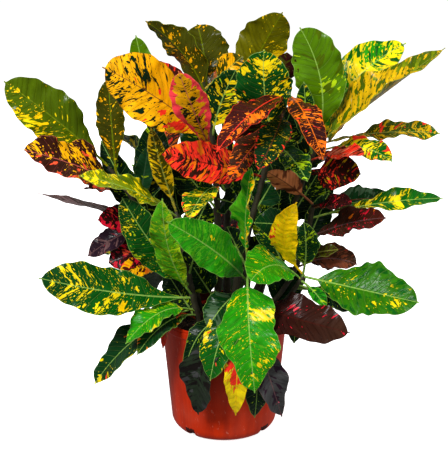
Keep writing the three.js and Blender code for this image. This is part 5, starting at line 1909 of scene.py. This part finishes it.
@dataclass(frozen=True)
class Soil:
    """Potting mix that fills the pot to a little under its lip, with crumbs and bark chips on it.

    cells has the pitch and the share of each lattice noise of the top, and crumb_tones the colours of the
    crumbs with the odds of each. A crumb's size grows from its least, and the pairs are what its length,
    height, roughness and lean are drawn between.
    """

    floor: float = 2.5
    middle_radius: float = 24.0
    ledge_radius: float = 27.0
    ledge: float = 5.5
    foot_radius: float = 46.0
    corner_radius: float = 62.0
    corner_height: float = 17.0
    shoulder: float = 134.0
    shoulder_radius: float = 75.4
    top_radius: float = 73.6
    hole_radius: float = 0.6
    around: int = 200
    rings: int = 66
    roughness: float = 1.3
    level: float = 0.3
    cells: tuple[Span, ...] = ((9.0, 0.5), (4.0, 0.35), (1.9, 0.25))
    crumbs: int = 620
    crumb_inset: float = 2.0
    crumb_tones: tuple[tuple[Hue, float], ...] = (
        (Hue.CRUMB_BLACK, 0.3),
        (Hue.CRUMB_DARK, 0.3),
        (Hue.CRUMB_BROWN, 0.18),
        (Hue.CRUMB_RUST, 0.12),
        (Hue.CRUMB_TAN, 0.1),
    )
    crumb_least: float = 0.7
    crumb_growth: float = 1.5
    crumb_long: Span = (1.0, 1.9)
    crumb_flat: Span = (0.4, 0.8)
    crumb_rough: Span = (0.75, 1.15)
    crumb_lean: Span = (-0.4, 0.4)
    crumb_rise: float = 0.3
    seed: int = 41

    def height(self, x: Grid, y: Grid) -> Grid:
        """The soil's top.

        It is 138 mm plus 1.5 (sin(3 (a + t)) cos(2 a - 3 t) - 1), with a the angle and t = 3 r / 150,
        plus lattice noise of three cell sizes.

        Args:
            x: places along X.
            y: places along Y, of the same shape.

        Returns:
            Heights in mm of the same shape.
        """
        angle = np.arctan2(y, x)
        turn = SOIL_LUMPS * np.hypot(x, y) / Pot.height
        lump = np.sin(SOIL_LUMPS * (angle + turn)) * np.cos(2 * angle - SOIL_LUMPS * turn)
        noise = sum(
            share * lattice_noise(x, y, cell, self.seed + number)
            for number, (cell, share) in enumerate(self.cells)
        )
        return SOIL_TOP + SOIL_SWELL * (lump - 1) / 2 + self.roughness * (noise - self.level)

    def build(self) -> list[bpy.types.Object]:
        """Builds the soil's body and the crumbs on it.

        Returns:
            The two pieces.
        """
        low = np.array(
            [
                (self.middle_radius, self.floor), (self.ledge_radius, self.ledge),
                (self.foot_radius, self.ledge), (self.corner_radius, self.corner_height),
                (self.shoulder_radius, self.shoulder),
            ]
        )
        top = np.linspace(self.top_radius, self.hole_radius, self.rings)
        x, y = circle(np.concatenate([low[:, 0], top]), self.around)
        crust = self.height(x[len(low) :], y[len(low) :])
        z = np.concatenate([np.repeat(low[:, 1:], self.around, axis=1), crust])
        ends = [np.array([0.0, 0.0, self.floor]), np.array([0.0, 0.0, float(z[-1].mean())])]
        surface = Surface()
        surface.add(*closed_rings(np.stack([x, y, z], axis=-1), *ends))
        soil = surface.piece("soil_fine", SoilFinish().build())
        pieces = [soil, self.scatter()]
        for piece in pieces:
            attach(piece, BODY)
            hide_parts("soil")
        return pieces

    def scatter(self) -> bpy.types.Object:
        """Scatters crumbs: squashed, leaned, turned and roughened blocks, sunk by about a third.

        Returns:
            The crumbs' one piece.
        """
        rng = np.random.default_rng(self.seed)
        tones, odds = zip(*self.crumb_tones)
        block, faces = self.block()
        surface = Surface()
        for _ in range(self.crumbs):
            radius = (self.top_radius - self.crumb_inset) * math.sqrt(rng.uniform())
            angle = rng.uniform(0, 2 * math.pi)
            x, y = radius * math.cos(angle), radius * math.sin(angle)
            size = self.crumb_least + self.crumb_growth * rng.uniform() ** 3
            shape = size * np.array([rng.uniform(*self.crumb_long), 1, rng.uniform(*self.crumb_flat)])
            turn = turned(rng.uniform(0, 2 * math.pi))
            lean = leaned(rng.uniform(*self.crumb_lean))
            rough = block * rng.uniform(*self.crumb_rough, (len(block), 1))
            ground = float(self.height(np.array([[x]]), np.array([[y]]))[0, 0])
            points = rough * shape @ lean @ turn + (x, y, ground + shape[2] * self.crumb_rise)
            tone = tones[rng.choice(len(tones), p=odds)].linear()
            values = {GROUND: np.tile(tone, (len(block), 1))}
            surface.add(points, np.zeros((0, 4), int), faces, values=values)
        return surface.piece("soil_crumbs", CrumbFinish().build())

    @staticmethod
    def block() -> tuple[Grid, Grid]:
        """A regular body of twelve points and twenty faces, each counterclockwise from outside.

        The points are those of three golden rectangles that cross at right angles, at 1 from the middle.
        Its edges are 1.05 long, and its other points are 1.7 apart or more.

        Returns:
            (12, 3) points and (20, 3) corners of faces.
        """
        golden = (1 + math.sqrt(5)) / 2
        rectangle = np.array([(0, a, b * golden) for a in (-1, 1) for b in (-1, 1)], float)
        points = unit(np.concatenate([np.roll(rectangle, -shift, axis=1) for shift in range(3)]))
        edge_most = 1.2
        near = np.linalg.norm(points[:, None] - points[None], axis=-1) < edge_most
        faces = []
        for i, j, k in combinations(range(len(points)), 3):
            if near[i, j] and near[j, k] and near[i, k]:
                out = np.dot(np.cross(points[j] - points[i], points[k] - points[i]), points[i])
                faces.append((i, j, k) if out > 0 else (i, k, j))
        return points, np.array(faces)


@dataclass(frozen=True)
class Lamp:
    """A square area light: its place and its side in metres, its power in watts, and whether glossy
    surfaces mirror it."""

    name: str
    place: Point
    size: float
    power: float
    shine: bool = False

    def hang(self, aim: Point) -> None:
        """Hangs the light so that it faces a point.

        Args:
            aim: the point in metres.
        """
        data = bpy.data.lights.new(self.name, "AREA")
        data.size = self.size
        data.energy = self.power
        lamp = linked(self.name, data)
        lamp.location = self.place
        lamp.rotation_euler = (Vector(self.place) - Vector(aim)).to_track_quat("Z", "Y").to_euler()
        lamp.visible_glossy = self.shine


@dataclass(frozen=True)
class Studio:
    """A white floor, a white surround, soft area lights, and a camera where the photo was taken.

    Lengths are in metres, the tilt in degrees up from straight down, the sensor in mm, and the focal
    length and the image's width in pixels of the photo.
    """

    floor_size: float = 20.0
    surround: float = 0.3
    aim: Point = (0.0, 0.0, 0.25)
    lamps: tuple[Lamp, ...] = (
        Lamp("key_light", (-0.9, -1.5, 1.9), 0.6, 58.0, shine=True),
        Lamp("fill_light", (1.5, -1.2, 1.2), 1.4, 20.0),
        Lamp("rear_light", (-0.4, 1.9, 1.1), 1.4, 22.0),
        Lamp("top_light", (0.2, 0.7, 2.1), 1.2, 20.0),
    )
    distance: float = 1.3
    camera_height: float = 0.64
    tilt: float = 73.85
    sensor: float = 36.0
    focal_pixels: float = 1100.0
    image_pixels: float = 448.0

    def build(self) -> None:
        """Sets up the floor, the surround, the lights, the camera and the colour view."""
        self.floor()
        self.world()
        for lamp in self.lamps:
            lamp.hang(self.aim)
        self.camera()
        scene = bpy.context.scene
        scene.view_settings.view_transform = "Standard"
        scene.view_settings.look = "None"

    def floor(self) -> None:
        """Lays a large plane at Z = 0."""
        reach = self.floor_size / 2
        corners = [(-reach, -reach, 0.0), (reach, -reach, 0.0), (reach, reach, 0.0), (-reach, reach, 0.0)]
        mesh = bpy.data.meshes.new("studio_floor")
        mesh.from_pydata(corners, [], [[0, 1, 2, 3]])
        mesh.materials.append(FloorFinish().build())
        plane = linked("studio_floor", mesh)
        plane.visible_diffuse = False
        plane.visible_glossy = False

    def world(self) -> None:
        """Fills the surround with even white light."""
        world = bpy.data.worlds.new("white_surround")
        world.use_nodes = True
        tree = world.node_tree
        lit = tree.nodes["Background"]
        seen = tree.nodes.new("ShaderNodeBackground")
        for background, strength in ((lit, self.surround), (seen, 1.0)):
            background.inputs["Color"].default_value = (1.0, 1.0, 1.0, 1.0)
            background.inputs["Strength"].default_value = strength
        ray = tree.nodes.new("ShaderNodeLightPath")
        choice = tree.nodes.new("ShaderNodeMixShader")
        tree.links.new(ray.outputs["Is Camera Ray"], choice.inputs[0])
        tree.links.new(lit.outputs[0], choice.inputs[1])
        tree.links.new(seen.outputs[0], choice.inputs[2])
        tree.links.new(choice.outputs[0], tree.nodes["World Output"].inputs["Surface"])
        bpy.context.scene.world = world

    def camera(self) -> None:
        """Sets the camera a little above the plant's top, looking down at the pot."""
        data = bpy.data.cameras.new("photo_camera")
        data.sensor_fit = "HORIZONTAL"
        data.sensor_width = self.sensor
        data.lens = self.sensor * self.focal_pixels / self.image_pixels
        camera = linked("photo_camera", data)
        camera.location = (0.0, -self.distance, self.camera_height)
        camera.rotation_euler = (math.radians(self.tilt), 0.0, 0.0)
        bpy.context.scene.camera = camera


def main() -> None:
    """Builds the plant from the pot up, reports each piece, and sets up the studio."""
    logging.basicConfig(level=logging.INFO, format="%(name)s: %(message)s")
    leaf_finish = LeafFinish().build()
    bark_finish = BarkFinish().build()
    pieces = Pot().build() + Soil().build()
    for number, stem in enumerate(STEMS):
        pieces += stem.build(number, leaf_finish, bark_finish)
    for piece in pieces:
        LOG.info("%s: %d faces", piece.name, len(piece.data.polygons))
    Studio().build()


if __name__ == "__main__":
    main()
